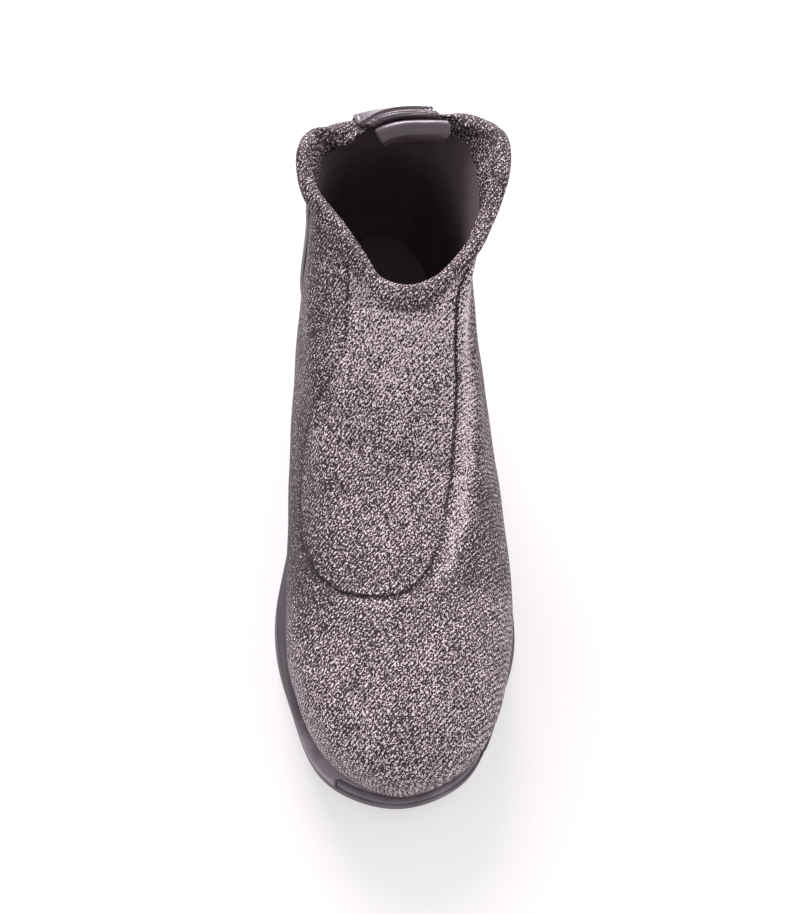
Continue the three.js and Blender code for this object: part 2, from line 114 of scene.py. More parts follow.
floor = bpy.data.objects.new("floor", bpy.data.meshes.new("floor"))
corners = [(x * FLOOR_SIZE / 2, y * FLOOR_SIZE / 2, 0) for x, y in ((-1, -1), (1, -1), (1, 1), (-1, 1))]
floor.data.from_pydata(corners, [], [(0, 1, 2, 3)])
floor.data.materials.append(opal)
bpy.context.collection.objects.link(floor)

# Light
# A bright even room, one broad lamp at the right above, and one behind the heel that glances off the leather.
room = bpy.data.worlds.new("room")
scene.world = room
room.use_nodes = True
room.node_tree.nodes["Background"].inputs["Color"].default_value = linear("#fbfaff")
room.node_tree.nodes["Background"].inputs["Strength"].default_value = 0.77
LAMP_AIM = np.array([0.0, 0.0, 0.05])
LAMPS = [
    {"name": "key_lamp", "place": (0.95, 0.25, 1.5), "size": 1.5, "watts": 5.0, "colour": "#fffaf6"},
    {"name": "back_lamp", "place": (-0.25, 1.35, 1.0), "size": 1.0, "watts": 40.0, "colour": "#fdf6ff"},
]
for row in LAMPS:
    light = bpy.data.lights.new(row["name"], "AREA")
    light.shape = "DISK"
    light.size = row["size"]
    light.energy = row["watts"]
    light.color = linear(row["colour"])[:3]
    lamp = bpy.data.objects.new(row["name"], light)
    lamp.location = row["place"]
    to = LAMP_AIM - np.array(row["place"])
    lamp.rotation_euler = (math.acos(-to[2] / np.linalg.norm(to)), 0, math.atan2(-to[0], to[1]))
    bpy.context.collection.objects.link(lamp)

# Outsole
# A thin moulded rubber sheet under the whole shoe, with cross grooves, turned up over the toe as a bumper.
# It is cemented to the wedge. Sizes are in millimetres.
SOLE_LENGTH = 260
SOLE_WIDTH = 98
SOLE_HEEL_WIDTH = 67
SOLE_WAIST_WIDTH = 63
HEEL_LIFT = 42
BALL_LIFT = 14.5
TOE_LIFT = 16
TOE_SPRING = 8
HEEL_BEVEL = 1.5
OUTSOLE_THICKNESS = 4
BUMPER_THICKNESS = 2.2
BUMPER_EDGE = 0.6
BUMPER_START = {"medial": 0.966, "lateral": 0.915}
RAND_HEIGHT = 5
BEVEL_SHARE = 0.72
GROOVE_WIDTH = 3
GROOVE_DEPTH = 1.8
GROOVE_PITCH = 11
GROOVE_EDGE = 9
GROOVED_SHARE = 0.9
BARE_WAIST = (0.34, 0.5)
TREAD_INSET = 0.5
ROOF_INSET = 0.45
GAP = 0.3
STATIONS = {"corner": 0.035, "heel": 0.14, "waist": 0.38, "ball": 0.67, "side": 0.84, "toe": 0.955}
BACK_CORNER = 0.6
SOLE_COLUMNS = ("back", "front", "heel", "waist", "ball", "side", "toe")
SOLE_FLOOR = dict(zip(SOLE_COLUMNS, (0.0, 1.0, 1.0, 1.0, 1.0, 0.83, 0.55)))
SOLE_TOP = dict(zip(SOLE_COLUMNS, (0.021, 0.999, 0.925, 1.09, 0.913, 0.84, 0.575)))


def smooth(t):
    """Rises from 0 to 1 as t does: three t squared less two t cubed."""
    c = np.clip(t, 0, 1)
    return c * c * (3 - 2 * c)


def square_rise(t):
    """Zero below 0, and t squared above."""
    return np.maximum(0, t) ** 2


def share_at(y):
    """How far along the sole a place is, 0 at the heel and 1 at the toe."""
    return 0.5 - y / SOLE_LENGTH


def feather_height(y):
    """Height of the line where upper and sole meet: a fall from heel to ball, then a rise with the square."""
    s = share_at(y)
    fall = BALL_LIFT + (HEEL_LIFT - BALL_LIFT) * smooth((0.62 - s) / 0.49)
    return fall + (TOE_LIFT - BALL_LIFT) * square_rise((s - 0.72) / 0.28)


def underside_height(y):
    """Height of the tread: flat at heel and ball, rising with the square at the toe and the heel's back."""
    s = share_at(y)
    return TOE_SPRING * square_rise((s - 0.77) / 0.23) + HEEL_BEVEL * square_rise((0.07 - s) / 0.07)


def middle_line(y):
    """Sideways place of the last's middle: two smooth steps to the medial side, at the waist and the toe."""
    s = share_at(y)
    return SOLE_WIDTH * (-0.046 * smooth((0.64 - s) / 0.4) - 0.02 * smooth((s - 0.7) / 0.25))


def ring_points(ring, half, height, shift, tilt):
    """Fourteen control points of a closed ring, from its back by the medial side to its front and back again.
    Skew is the share by which the medial widths at ball and side fall short of the lateral ones."""
    back = SOLE_LENGTH * (0.5 - ring["back"])
    length = back - SOLE_LENGTH * (0.5 - ring["front"])
    widths = {
        "corner": BACK_CORNER * ring["heel"] * half["heel"],
        "heel": ring["heel"] * half["heel"],
        "waist": ring["waist"] * half["waist"],
        "ball": ring["ball"] * half["ball"],
        "side": ring["side"] * half["ball"],
        "toe": ring["toe"] * half["ball"],
    }
    kept = {"ball": 1 - ring.get("skew", 0), "side": 1 - ring.get("skew", 0)}
    share = np.array([0.0] + [STATIONS[n] for n in widths] + [1.0] + [STATIONS[n] for n in widths][::-1])
    medial = [-widths[n] * kept.get(n, 1) for n in widths]
    off = np.array([0.0] + medial + [0.0] + [widths[n] for n in widths][::-1])
    y = back - share * length
    return np.stack([middle_line(y) + shift + off, y, height(share) + tilt * off / half["ball"]], axis=-1)


def through(a, b, c, d, t):
    """One cubic through b and c whose slopes there are half of c - a and of d - b."""
    return b + 0.5 * t * (c - a + t * (2 * a - 5 * b + 4 * c - d + t * (3 * (b - c) + d - a)))


def on_ring(points, u):
    """The point at share u round a closed smooth curve through the control points."""
    n = len(points)
    place = np.mod(u, 1.0) * n
    i = np.floor(place).astype(int)
    t = (place - i)[..., None]
    return through(points[(i + n - 1) % n], points[i % n], points[(i + 1) % n], points[(i + 2) % n], t)


def level(share):
    """No height at any share."""
    return 0 * share


SOLE_HALF = {"heel": SOLE_HEEL_WIDTH / 2, "waist": SOLE_WAIST_WIDTH / 2, "ball": SOLE_WIDTH / 2}
FLOOR_CONTROL = ring_points(SOLE_FLOOR, SOLE_HALF, level, 0, 0)
TOP_CONTROL = ring_points(SOLE_TOP, SOLE_HALF, level, 0, 0)


def sole_edge(u, height, inset, plain=False):
    """A point of the sole's side: between the floor ring and the top ring by its height, then moved in."""
    low = on_ring(FLOOR_CONTROL, u)
    high = on_ring(TOP_CONTROL, u)
    top = feather_height(low[..., 1]) - height(low[..., 1])
    full = feather_height(low[..., 1]) - underside_height(low[..., 1])
    bevel = BEVEL_SHARE * np.minimum(top, RAND_HEIGHT) / RAND_HEIGHT
    flare = (1 - BEVEL_SHARE) * np.maximum(0, top - RAND_HEIGHT) / (full - RAND_HEIGHT)
    mix = np.clip(bevel + flare, 0, 1) if not plain else np.ones_like(top)
    place = high[..., :2] + (low - high)[..., :2] * mix[..., None]
    step = 1e-3
    along = (on_ring(FLOOR_CONTROL, u + step) - on_ring(FLOOR_CONTROL, u - step))[..., :2]
    along = along / np.linalg.norm(along, axis=-1, keepdims=True)
    x = place[..., 0] - inset * along[..., 1]
    y = place[..., 1] + inset * along[..., 0]
    return np.stack([x, y, height(y)], axis=-1)


def layer_top(y):
    """Top of the outsole's flat layer."""
    return underside_height(y) + OUTSOLE_THICKNESS


def wedge_top(y):
    """Top of the wedge, a small gap under the upper."""
    return feather_height(y) - GAP


def quads(rows, columns, around_rows=False, around_columns=False, start=0):
    """The four corners of each cell of a grid of points, wrapped round where the grid closes on itself."""
    r = np.arange(rows if around_rows else rows - 1)[:, None]
    c = np.arange(columns if around_columns else columns - 1)[None, :]
    at = lambda i, j: start + (i % rows) * columns + (j % columns)
    cells = np.stack([at(r, c), at(r, c + 1), at(r + 1, c + 1), at(r + 1, c)], axis=-1)
    return cells.reshape(-1, 4)


def make_piece(name, points, faces, material, crease=None, values=None):
    """An object in metres from points in millimetres, with doubles merged, smooth but for sharp edges."""
    mesh = bpy.data.meshes.new(name)
    mesh.from_pydata((points.reshape(-1, 3) / 1000).tolist(), [], faces.tolist())
    for key, numbers in (values or {}).items():
        layer = mesh.attributes.new(key, "FLOAT", "POINT")
        layer.data.foreach_set("value", np.asarray(numbers, dtype=np.float32).reshape(-1))
    work = bmesh.new()
    work.from_mesh(mesh)
    bmesh.ops.remove_doubles(work, verts=work.verts, dist=2e-7)
    bmesh.ops.dissolve_degenerate(work, edges=work.edges, dist=1e-7)
    work.to_mesh(mesh)
    work.free()
    mesh.shade_smooth()
    if crease:
        mesh.set_sharp_from_angle(angle=math.radians(crease))
    mesh.materials.append(material)
    made = bpy.data.objects.new(name, mesh)
    bpy.context.collection.objects.link(made)
    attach(made, "root")
    return made


# Moulded rubber: matt from the mould's spark-eroded steel, with a fine stipple and a little dust
tread_rubber, tree, shader = finish_of("moulded_rubber_tread")
shader.inputs["Roughness"].default_value = 0.6
shader.inputs["IOR"].default_value = 1.52
where = add(tree, "ShaderNodeTexCoord")
dust = add(
    tree,
    "ShaderNodeTexNoise",
    {"Vector": where.outputs["Object"]},
    {"Scale": 55.0, "Detail": 5.0, "Roughness": 0.6},
)
tone = add(
    tree,
    "ShaderNodeValToRGB",
    {"Fac": dust.outputs["Fac"]},
    ramp=[(0.32, "#53484e"), (0.55, "#655a61"), (0.78, "#7b7077")],
)
stipple = add(
    tree,
    "ShaderNodeTexNoise",
    {"Vector": where.outputs["Object"]},
    {"Scale": 1800.0, "Detail": 1.0},
)
bump = add(
    tree,
    "ShaderNodeBump",
    {"Height": stipple.outputs["Fac"]},
    {"Strength": 0.35, "Distance": 0.0003},
)
tree.links.new(tone.outputs["Color"], shader.inputs["Base Color"])
tree.links.new(bump.outputs["Normal"], shader.inputs["Normal"])

EDGE_COLUMNS = 480
# The edge's rows, each with its height over the tread and how far it is moved in
EDGE_ROWS = [
    (0.0, TREAD_INSET),
    (0.15, 0.15),
    (0.5, 0.0),
    (OUTSOLE_THICKNESS - 0.6, 0.0),
    (OUTSOLE_THICKNESS - 0.2, 0.12),
    (OUTSOLE_THICKNESS, ROOF_INSET),
]
u = np.linspace(0, 1, EDGE_COLUMNS, endpoint=False)
side = np.stack([sole_edge(u, lambda y, h=h: underside_height(y) + h, inset) for h, inset in EDGE_ROWS])

# The tread's grooves, cut across between the edges, and its flat roof
TREAD_LINES = 620
TREAD_ACROSS = 41
fine_u = np.linspace(0, 0.5, 4000)
fine_y = sole_edge(fine_u, underside_height, TREAD_INSET)[:, 1]
y_line = np.linspace(fine_y[0] - 0.02, fine_y[-1] + 0.02, TREAD_LINES)
u_line = np.interp(-y_line, -fine_y, fine_u)
u_line[0] = 0.0
u_line[-1] = 0.5
across = np.linspace(0, 1, TREAD_ACROSS)
medial = sole_edge(u_line, underside_height, TREAD_INSET)
lateral = sole_edge(1 - u_line, underside_height, TREAD_INSET)
tread = medial[:, None] + (lateral - medial)[:, None] * across[None, :, None]
s = share_at(tread[..., 1])
phase = (SOLE_LENGTH * GROOVED_SHARE / 2 - tread[..., 1]) / GROOVE_PITCH
count = math.floor(SOLE_LENGTH * GROOVED_SHARE / GROOVE_PITCH)
away = np.abs(phase - np.floor(phase) - 0.5) * GROOVE_PITCH
cut = smooth((GROOVE_WIDTH / 2 + 0.3 - away) / 0.6)
cut = cut * ((phase > 0) & (phase < count)) * ~((s > BARE_WAIST[0]) & (s < BARE_WAIST[1]))
room_left = np.minimum(across, 1 - across) * np.linalg.norm(lateral - medial, axis=-1)[:, None]
cut = cut * smooth((room_left - GROOVE_EDGE + 0.4) / 0.8)
tread[..., 2] = underside_height(tread[..., 1]) + GROOVE_DEPTH * cut
roof_u = np.linspace(0, 0.5, TREAD_LINES)[::10]
roof_medial = sole_edge(roof_u, layer_top, ROOF_INSET)
roof_lateral = sole_edge(1 - roof_u, layer_top, ROOF_INSET)
roof_share = np.array([0, 0.5, 1.0])[None, :, None]
roof = roof_medial[:, None] + (roof_lateral - roof_medial)[:, None] * roof_share
n_side = side.size // 3
n_tread = tread.size // 3
faces = np.concatenate(
    [
        quads(len(EDGE_ROWS), EDGE_COLUMNS, False, True),
        quads(TREAD_LINES, TREAD_ACROSS, start=n_side),
        quads(len(roof), 3, start=n_side + n_tread)[:, ::-1],
    ]
)
points = np.concatenate([side.reshape(-1, 3), tread.reshape(-1, 3), roof.reshape(-1, 3)])
outsole = make_piece("outsole_tread", points, faces, tread_rubber, crease=40)

# Toe bumper, the turned-up front of the outsole. It starts further forward on the medial side.
BUMPER_COLUMNS = 240
medial_u = np.interp(-(SOLE_LENGTH * (0.5 - BUMPER_START["medial"])), -fine_y, fine_u)
lateral_u = 1 - np.interp(-(SOLE_LENGTH * (0.5 - BUMPER_START["lateral"])), -fine_y, fine_u)
u = np.linspace(medial_u, lateral_u, BUMPER_COLUMNS)


def bumper_row(share, inset, drop):
    """A line along the bumper: a share of the way from the layer's top to the wedge's top, and moved in."""
    height = lambda y: layer_top(y) - 1 + (wedge_top(y) - layer_top(y) + 1) * share - drop
    return sole_edge(u, height, inset, plain=inset < BUMPER_THICKNESS)


rows = [bumper_row(k / 12, BUMPER_EDGE, 0) for k in range(12)]
rows = rows + [
    bumper_row(1, BUMPER_EDGE, 0.75),
    bumper_row(1, BUMPER_EDGE + 0.07, 0.4),
    bumper_row(1, BUMPER_EDGE + 0.25, 0.12),
    bumper_row(1, BUMPER_EDGE + 0.6, 0),
    bumper_row(1, BUMPER_THICKNESS, 0),
    bumper_row(0, BUMPER_THICKNESS, 0),
]
section = np.stack(rows)
caps = []
k = len(rows)
for end in (0, BUMPER_COLUMNS - 1):
    ring = np.arange(k) * BUMPER_COLUMNS + end
    fan = [[ring[i], ring[i + 1], ring[k - 2 - i], ring[k - 1 - i]] for i in range(k // 2 - 1)]
    caps += fan if end == 0 else [f[::-1] for f in fan]
faces = np.concatenate([quads(k, BUMPER_COLUMNS, True, False), np.array(caps)])
bumper = make_piece("toe_bumper", section, faces, tread_rubber, crease=40)
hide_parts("outsole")

# Wedge midsole
# One block of moulded rubber, thick under the heel and thin under the ball, with a bevel and a moulded
# line round its top edge. It is cemented between the outsole and the lasted upper, and a little dusty.
RAND_LINE = 0.8
WEDGE_SIDE_COLUMNS = 180
WEDGE_FRONT_COLUMNS = 160
wedge_rubber, tree, shader = finish_of("moulded_rubber_wedge")
shader.inputs["IOR"].default_value = 1.52
where = add(tree, "ShaderNodeTexCoord")
dust = add(
    tree,
    "ShaderNodeTexNoise",
    {"Vector": where.outputs["Object"]},
    {"Scale": 38.0, "Detail": 6.0, "Roughness": 0.62},
)
# A painted highlight beside the toe on the medial side lightens the rubber's tone there, up to the palest
# stop
toe_painted_light = add(tree, "ShaderNodeAttribute", attribute_name="toe_painted_light")
shade = add(tree, "ShaderNodeMath", {0: dust.outputs["Fac"], 1: toe_painted_light.outputs["Fac"]}, operation="ADD")
tone = add(
    tree,
    "ShaderNodeValToRGB",
    {"Fac": shade.outputs[0]},
    ramp=[(0.3, "#362e32"), (0.55, "#463c42"), (0.72, "#5d5358"), (0.9, "#9a8f95")],
)
stipple = add(
    tree,
    "ShaderNodeTexNoise",
    {"Vector": where.outputs["Object"]},
    {"Scale": 1500.0, "Detail": 1.0},
)
gloss = add(
    tree,
    "ShaderNodeMapRange",
    {"Value": dust.outputs["Fac"]},
    {"From Min": 0.3, "From Max": 0.75, "To Min": 0.56, "To Max": 0.74},
)
bump = add(
    tree,
    "ShaderNodeBump",
    {"Height": stipple.outputs["Fac"]},
    {"Strength": 0.25, "Distance": 0.0002},
)
tree.links.new(tone.outputs["Color"], shader.inputs["Base Color"])
tree.links.new(gloss.outputs["Result"], shader.inputs["Roughness"])
tree.links.new(bump.outputs["Normal"], shader.inputs["Normal"])

medial_u = np.interp(-(SOLE_LENGTH * (0.5 - BUMPER_START["medial"]) + GAP), -fine_y, fine_u)
lateral_u = 1 - np.interp(-(SOLE_LENGTH * (0.5 - BUMPER_START["lateral"]) + GAP), -fine_y, fine_u)
u = np.concatenate(
    [
        np.linspace(0, medial_u, WEDGE_SIDE_COLUMNS),
        np.linspace(medial_u + 1e-4, lateral_u - 1e-4, WEDGE_FRONT_COLUMNS),
        np.linspace(lateral_u, 1, WEDGE_SIDE_COLUMNS)[:-1],
    ]
)
in_front = (u > medial_u + 5e-5) & (u < lateral_u - 5e-5)
set_back = np.where(in_front, BUMPER_THICKNESS + GAP, 0)
# The wedge's rows: what the height is taken from, how much, and how far the row is moved in
WEDGE_ROWS = [
    ("low", 0.0, 0.0),
    ("low", 0.35, 0.0),
    ("mid", 0.33, 0.0),
    ("mid", 0.66, 0.0),
    ("top", RAND_HEIGHT + 0.9, 0.0),
    ("top", RAND_HEIGHT + 0.75, 0.12),
    ("top", RAND_HEIGHT + 0.5, RAND_LINE),
    ("top", RAND_HEIGHT + 0.1, RAND_LINE),
    ("top", RAND_HEIGHT - 0.3, 0.12),
    ("top", RAND_HEIGHT - 0.45, 0.0),
    ("top", 2.6, 0.0),
    ("top", 0.7, 0.0),
    ("top", 0.3, 0.12),
    ("top", 0.06, 0.4),
    ("top", 0.0, 0.9),
]


def wedge_row(kind, amount, inset):
    """A line round the wedge: up from its foot, at a share of its height, or down from its top, moved in."""
    foot = lambda y: layer_top(y) + GAP
    if kind == "low":
        height = lambda y: foot(y) + amount
    elif kind == "mid":
        height = lambda y: foot(y) + amount * np.maximum(wedge_top(y) - 6 - foot(y), 0.5)
    else:
        height = lambda y: np.maximum(wedge_top(y) - amount, foot(y) + 0.6 - 0.05 * amount)
    return sole_edge(u, height, inset + set_back)


rows = np.stack([wedge_row(*row) for row in WEDGE_ROWS])
n = len(u)
pair = n - np.arange(n // 2 + 1)
half_u = np.arange(n // 2 + 1)
top_row = rows[-1]
low_row = rows[0]
lid = np.stack([top_row[half_u], (top_row[half_u] + top_row[pair % n]) / 2, top_row[pair % n]], axis=1)
base = np.stack([low_row[half_u], (low_row[half_u] + low_row[pair % n]) / 2, low_row[pair % n]], axis=1)
n_rows = rows.size // 3
faces = np.concatenate(
    [
        quads(len(WEDGE_ROWS), n, False, True),
        quads(len(lid), 3, start=n_rows)[:, ::-1],
        quads(len(base), 3, start=n_rows + lid.size // 3),
    ]
)
points = np.concatenate([rows.reshape(-1, 3), lid.reshape(-1, 3), base.reshape(-1, 3)])
# A painted highlight makes the rand pale beside the toe on the medial side
TOE_PAINTED_LIGHT = {"most": 0.42, "from": 80, "over": 25}
toe_painted_light = TOE_PAINTED_LIGHT["most"] * smooth((-points[:, 1] - TOE_PAINTED_LIGHT["from"]) / TOE_PAINTED_LIGHT["over"]) * (points[:, 0] < 0)
wedge = make_piece("wedge", points, faces, wedge_rubber, crease=38, values={"toe_painted_light": toe_painted_light})
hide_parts("wedge_midsole")

# Knit upper
# A stretch tube of melange knit, dark yarn with pale metallic flecks, bonded over a lining and lasted to the
# sole. Its top is rolled inwards over a soft filling as a thick collar.
BALL_WIDTH = 89
WAIST_WIDTH = 77
HEEL_WIDTH = 61
SHAFT_WIDTH = 77
BACK_HEIGHT = 97
SIDE_HEIGHT = 96
FRONT_HEIGHT = 94
COLLAR_LEAN = 5.5
COLLAR_TILT = 2
UPPER_WALL = 2.6
CUFF_HEIGHT = 10
CUFF_THICKNESS = 6.6
PANEL_WIDTH = 58
PANEL_LENGTH = 104.5
RING_COLUMNS = ("back", "front", "hBack", "hSide", "hFront", "heel", "waist", "ball", "side", "toe")
RING_COLUMNS += ("lean", "skew")
FOOT_RINGS = [
    (0.031, 0.993, 0.0, 0.0, 0.0, 0.864, 0.82, 0.944, 0.867, 0.567, 0, 0),
    (0.019, 0.998, 0.115, 0.12, 0.07, 0.955, 0.93, 0.989, 0.922, 0.622, 0, 0),
    (0.0155, 0.998, 0.245, 0.235, 0.155, 1.0, 1.0, 1.0, 0.933, 0.633, 0, 0),
    (0.019, 0.985, 0.385, 0.365, 0.235, 0.985, 0.995, 0.967, 0.889, 0.589, 0, 0),
    (0.03, 0.946, 0.51, 0.485, 0.31, 0.97, 0.945, 0.878, 0.78, 0.49, 0, 0),
    (0.0425, 0.876, 0.625, 0.595, 0.4, 0.955, 0.89, 0.767, 0.622, 0.378, 0, 0),
    (0.051, 0.771, 0.72, 0.69, 0.505, 0.94, 0.85, 0.69, 0.533, 0.311, 0.02, 0),
]
SHAFT_RINGS = [
    (0.055, 0.655, 0.8, 0.77, 0.625, 0.755, 0.82, 0.68, 0.52, 0.3, 0.1, 0),
    (0.06, 0.535, 0.875, 0.85, 0.755, 0.78, 0.835, 0.68, 0.5, 0.29, 0.3, 0.05),
    (0.075, 0.43, 0.94, 0.93, 0.88, 0.86, 0.92, 0.72, 0.5, 0.28, 0.65, 0.14),
    (0.092, 0.357, 1.0, 1.0, 0.975, 1.0, 1.03, 0.79, 0.53, 0.28, 1.0, 0.2),
]
# The collar's section from outside over the top: shares of its height down, and of its thickness out
CUFF_ROWS = [
    (1.02, 0.0),
    (0.96, 0.26),
    (0.75, 0.4),
    (0.45, 0.43),
    (0.2, 0.36),
    (0.05, 0.17),
    (0.0, -0.08),
    (0.05, -0.33),
    (0.2, -0.51),
    (0.45, -0.58),
    (0.75, -0.57),
    (0.96, -0.5),
]


def upper_ring(values, half):
    """Control points of a ring whose height above the feather line is a parabola by back, side and front."""
    ring = dict(zip(RING_COLUMNS, values))
    height = lambda s: (
        ring["hBack"] * BACK_HEIGHT * (1 - s) * (1 - 2 * s)
        + ring["hSide"] * SIDE_HEIGHT * 4 * s * (1 - s)
        + ring["hFront"] * FRONT_HEIGHT * s * (2 * s - 1)
    )
    return ring_points(ring, half, height, ring["lean"] * COLLAR_LEAN, ring["lean"] * COLLAR_TILT)


FOOT_HALF = {"heel": HEEL_WIDTH / 2, "waist": WAIST_WIDTH / 2, "ball": BALL_WIDTH / 2}
SHAFT_HALF = {"heel": SHAFT_WIDTH / 2, "waist": SHAFT_WIDTH / 2, "ball": SHAFT_WIDTH / 2}
rings = [upper_ring(r, FOOT_HALF) for r in FOOT_RINGS] + [upper_ring(r, SHAFT_HALF) for r in SHAFT_RINGS]
UPPER_CONTROL = np.stack([2 * rings[0] - rings[1], *rings, 2 * rings[-1] - rings[-2]])


# The worn collar sags beside the back strip on the medial side
SAG = {"at": 0.072, "wide": 0.037, "move": (0.5, -2.5, -9.0)}
# The toe is lasted a little inside the sole's edge on the medial side
TUCK = {"at": 0.425, "wide": 0.065, "move": (2.6, 0.8, 0.0)}


def upper_face(u, v):
    """A point of the upper's outer face: a smooth curve round by u, and one through the rings by v, moved by
    two bell curves round the ring: the collar's sag, which fades out below, and the toe's tuck, which fades
    out above."""
    u, v = np.broadcast_arrays(np.asarray(u, float), np.asarray(v, float))
    last = len(UPPER_CONTROL) - 3
    place = np.clip(v, 0, 1) * last
    j = np.minimum(np.floor(place).astype(int), last - 1)
    n = UPPER_CONTROL.shape[1]
    turn = np.mod(u, 1.0) * n
    i = np.floor(turn).astype(int)
    t = (turn - i)[..., None]
    row = lambda k: through(*[UPPER_CONTROL[j + k, (i + m) % n] for m in (n - 1, 0, 1, 2)], t)
    p = through(row(0), row(1), row(2), row(3), (place - j)[..., None])
    p[..., 2] = p[..., 2] + feather_height(p[..., 1])
    round_back = np.mod(u + 0.5, 1.0) - 0.5
    sag = np.exp(-(((round_back - SAG["at"]) / SAG["wide"]) ** 2)) * smooth((v - 0.8) / 0.2)
    tuck = np.exp(-(((np.mod(u, 1.0) - TUCK["at"]) / TUCK["wide"]) ** 2)) * smooth((0.6 - v) / 0.45)
    return p + sag[..., None] * np.array(SAG["move"]) + tuck[..., None] * np.array(TUCK["move"])


def upper_normal(u, v):
    """The outward normal: the cross product of the two directions, laid level at the feather line."""
    step = 1e-3
    u, v = np.broadcast_arrays(np.asarray(u, float), np.asarray(v, float))
    w = np.clip(v, step, 1 - step)
    round_it = upper_face(u + step, w) - upper_face(u - step, w)
    n = np.cross(round_it, upper_face(u, w + step) - upper_face(u, w - step))
    n = n / np.linalg.norm(n, axis=-1, keepdims=True)
    n[..., 2] = n[..., 2] * smooth(v / 0.06)
    return n / np.linalg.norm(n, axis=-1, keepdims=True)


def upper_point(u, v, out):
    """A point out from the face along its normal, kept at the feather line's height at the lower edge."""
    u, v, out = np.broadcast_arrays(np.asarray(u, float), np.asarray(v, float), np.asarray(out, float))
    p = upper_face(u, v) + upper_normal(u, v) * out[..., None]
    p[..., 2] = np.where(v <= 0, feather_height(p[..., 1]), p[..., 2])
    return p


def v_below(u, distance):
    """The v at a walked distance down the face from the collar, for each u."""
    u, distance = np.broadcast_arrays(np.atleast_1d(u).astype(float), np.asarray(distance, float))
    vs = np.linspace(1, 0, 401)
    walk = np.linalg.norm(np.diff(upper_face(u[:, None], vs[None, :]), axis=1), axis=-1)
    walk = np.concatenate([np.zeros((len(u), 1)), np.cumsum(walk, axis=1)], axis=1)
    return np.array([np.interp(d, w, vs) for d, w in zip(distance, walk)])


# The instep panel's outline on the face, from shares of its length along and of its width either side
PANEL_ROWS = [
    (-0.27, -0.3, 0.53),
    (-0.19, -0.3, 0.485),
    (-0.1, -0.305, 0.425),
    (0.0, -0.32, 0.405),
    (0.1, -0.35, 0.395),
    (0.22, -0.46, 0.392),
    (0.34, -0.575, 0.37),
    (0.48, -0.64, 0.345),
    (0.64, -0.67, 0.3),
    (0.8, -0.66, 0.24),
    (0.92, -0.57, 0.14),
    (0.985, -0.4, 0.0),
]
PANEL_FOOT = (SOLE_LENGTH * (0.5 - 0.736), 60)
PANEL_HEAD = (SOLE_LENGTH * (0.5 - 0.397), 112)
PANEL_TILT = math.atan2(PANEL_HEAD[1] - PANEL_FOOT[1], PANEL_HEAD[0] - PANEL_FOOT[0])


def panel_place(share, along):
    """Flat place of a panel row: across, and down along the instep."""
    y = PANEL_HEAD[0] - along * PANEL_LENGTH * math.cos(PANEL_TILT)
    return np.stack([share * PANEL_WIDTH + middle_line(y), -along * PANEL_LENGTH], axis=-1)


def panel_flat(p):
    """Flat place of points in space, seen square to the instep, and their height over that plane."""
    y = p[..., 1] - PANEL_HEAD[0]
    z = p[..., 2] - PANEL_HEAD[1]
    c, s = math.cos(PANEL_TILT), math.sin(PANEL_TILT)
    return np.stack([p[..., 0], y * c + z * s], axis=-1), z * c - y * s


table = np.array(PANEL_ROWS)
outline = np.concatenate(
    [
        panel_place(table[:, 1], table[:, 0]),
        panel_place(np.array([-0.2]), np.array([1.0])),
        panel_place(table[:, 2], table[:, 0])[::-1],
    ]
)


def on_line(points, t):
    """A smooth open curve through points, t from 0 to the last point's number."""
    more = np.concatenate([2 * points[:1] - points[1:2], points, 2 * points[-1:] - points[-2:-1]])
    i = np.clip(np.floor(t).astype(int), 0, len(points) - 2)
    f = (t - i)[..., None]
    return through(more[i], more[i + 1], more[i + 2], more[i + 3], f)


def on_upper(flat):
    """The u and v whose face point has the given flat place: nearest of a coarse grid, then Newton steps."""
    shape = flat.shape[:-1]
    flat = flat.reshape(-1, 2)
    gu, gv = np.meshgrid(np.linspace(0.24, 0.76, 105), np.linspace(0.15, 1, 80), indexing="ij")
    seed, rise = panel_flat(upper_face(gu, gv))
    seed = seed.reshape(-1, 2)
    best = np.array([np.argmin(((seed - f) ** 2).sum(axis=1)) for f in flat])
    u = gu.reshape(-1)[best]
    v = gv.reshape(-1)[best]
    step = 1e-4
    for _ in range(9):
        miss = panel_flat(upper_face(u, v))[0] - flat
        du = (panel_flat(upper_face(u + step, v))[0] - panel_flat(upper_face(u - step, v))[0]) / (2 * step)
        vv = np.clip(v, step, 1 - step)
        dv = (panel_flat(upper_face(u, vv + step))[0] - panel_flat(upper_face(u, vv - step))[0]) / (2 * step)
        det = du[:, 0] * dv[:, 1] - du[:, 1] * dv[:, 0]
        det = np.where(np.abs(det) < 1e-6, 1e-6, det)
        u = u - np.clip((miss[:, 0] * dv[:, 1] - miss[:, 1] * dv[:, 0]) / det, -0.02, 0.02)
        v = np.clip(v - np.clip((du[:, 0] * miss[:, 1] - du[:, 1] * miss[:, 0]) / det, -0.03, 0.03), 0, 1)
    return u.reshape(shape), v.reshape(shape)


edge_t = np.linspace(0, len(outline) - 1, 900)
edge_flat = on_line(outline, edge_t)
edge_u, edge_v = on_upper(edge_flat)
keep = edge_v < 0.999
edge_flat = edge_flat[keep]
edge_points = upper_face(edge_u[keep], edge_v[keep])


# How strongly the seam shows along the outline, from its medial top round the toe end to its lateral top
SEAM_SHOWS = [(0.0, 0.4), (0.12, 0.35), (0.17, 0.1), (0.3, 0.06), (0.37, 0.3), (0.44, 0.45)]
SEAM_SHOWS += [(0.5, 0.5), (0.56, 0.35), (0.64, 0.2), (0.7, 0.55), (0.8, 0.85), (1.0, 0.8)]
shows = np.interp(edge_t[keep] / edge_t[-1], *np.array(SEAM_SHOWS).T)


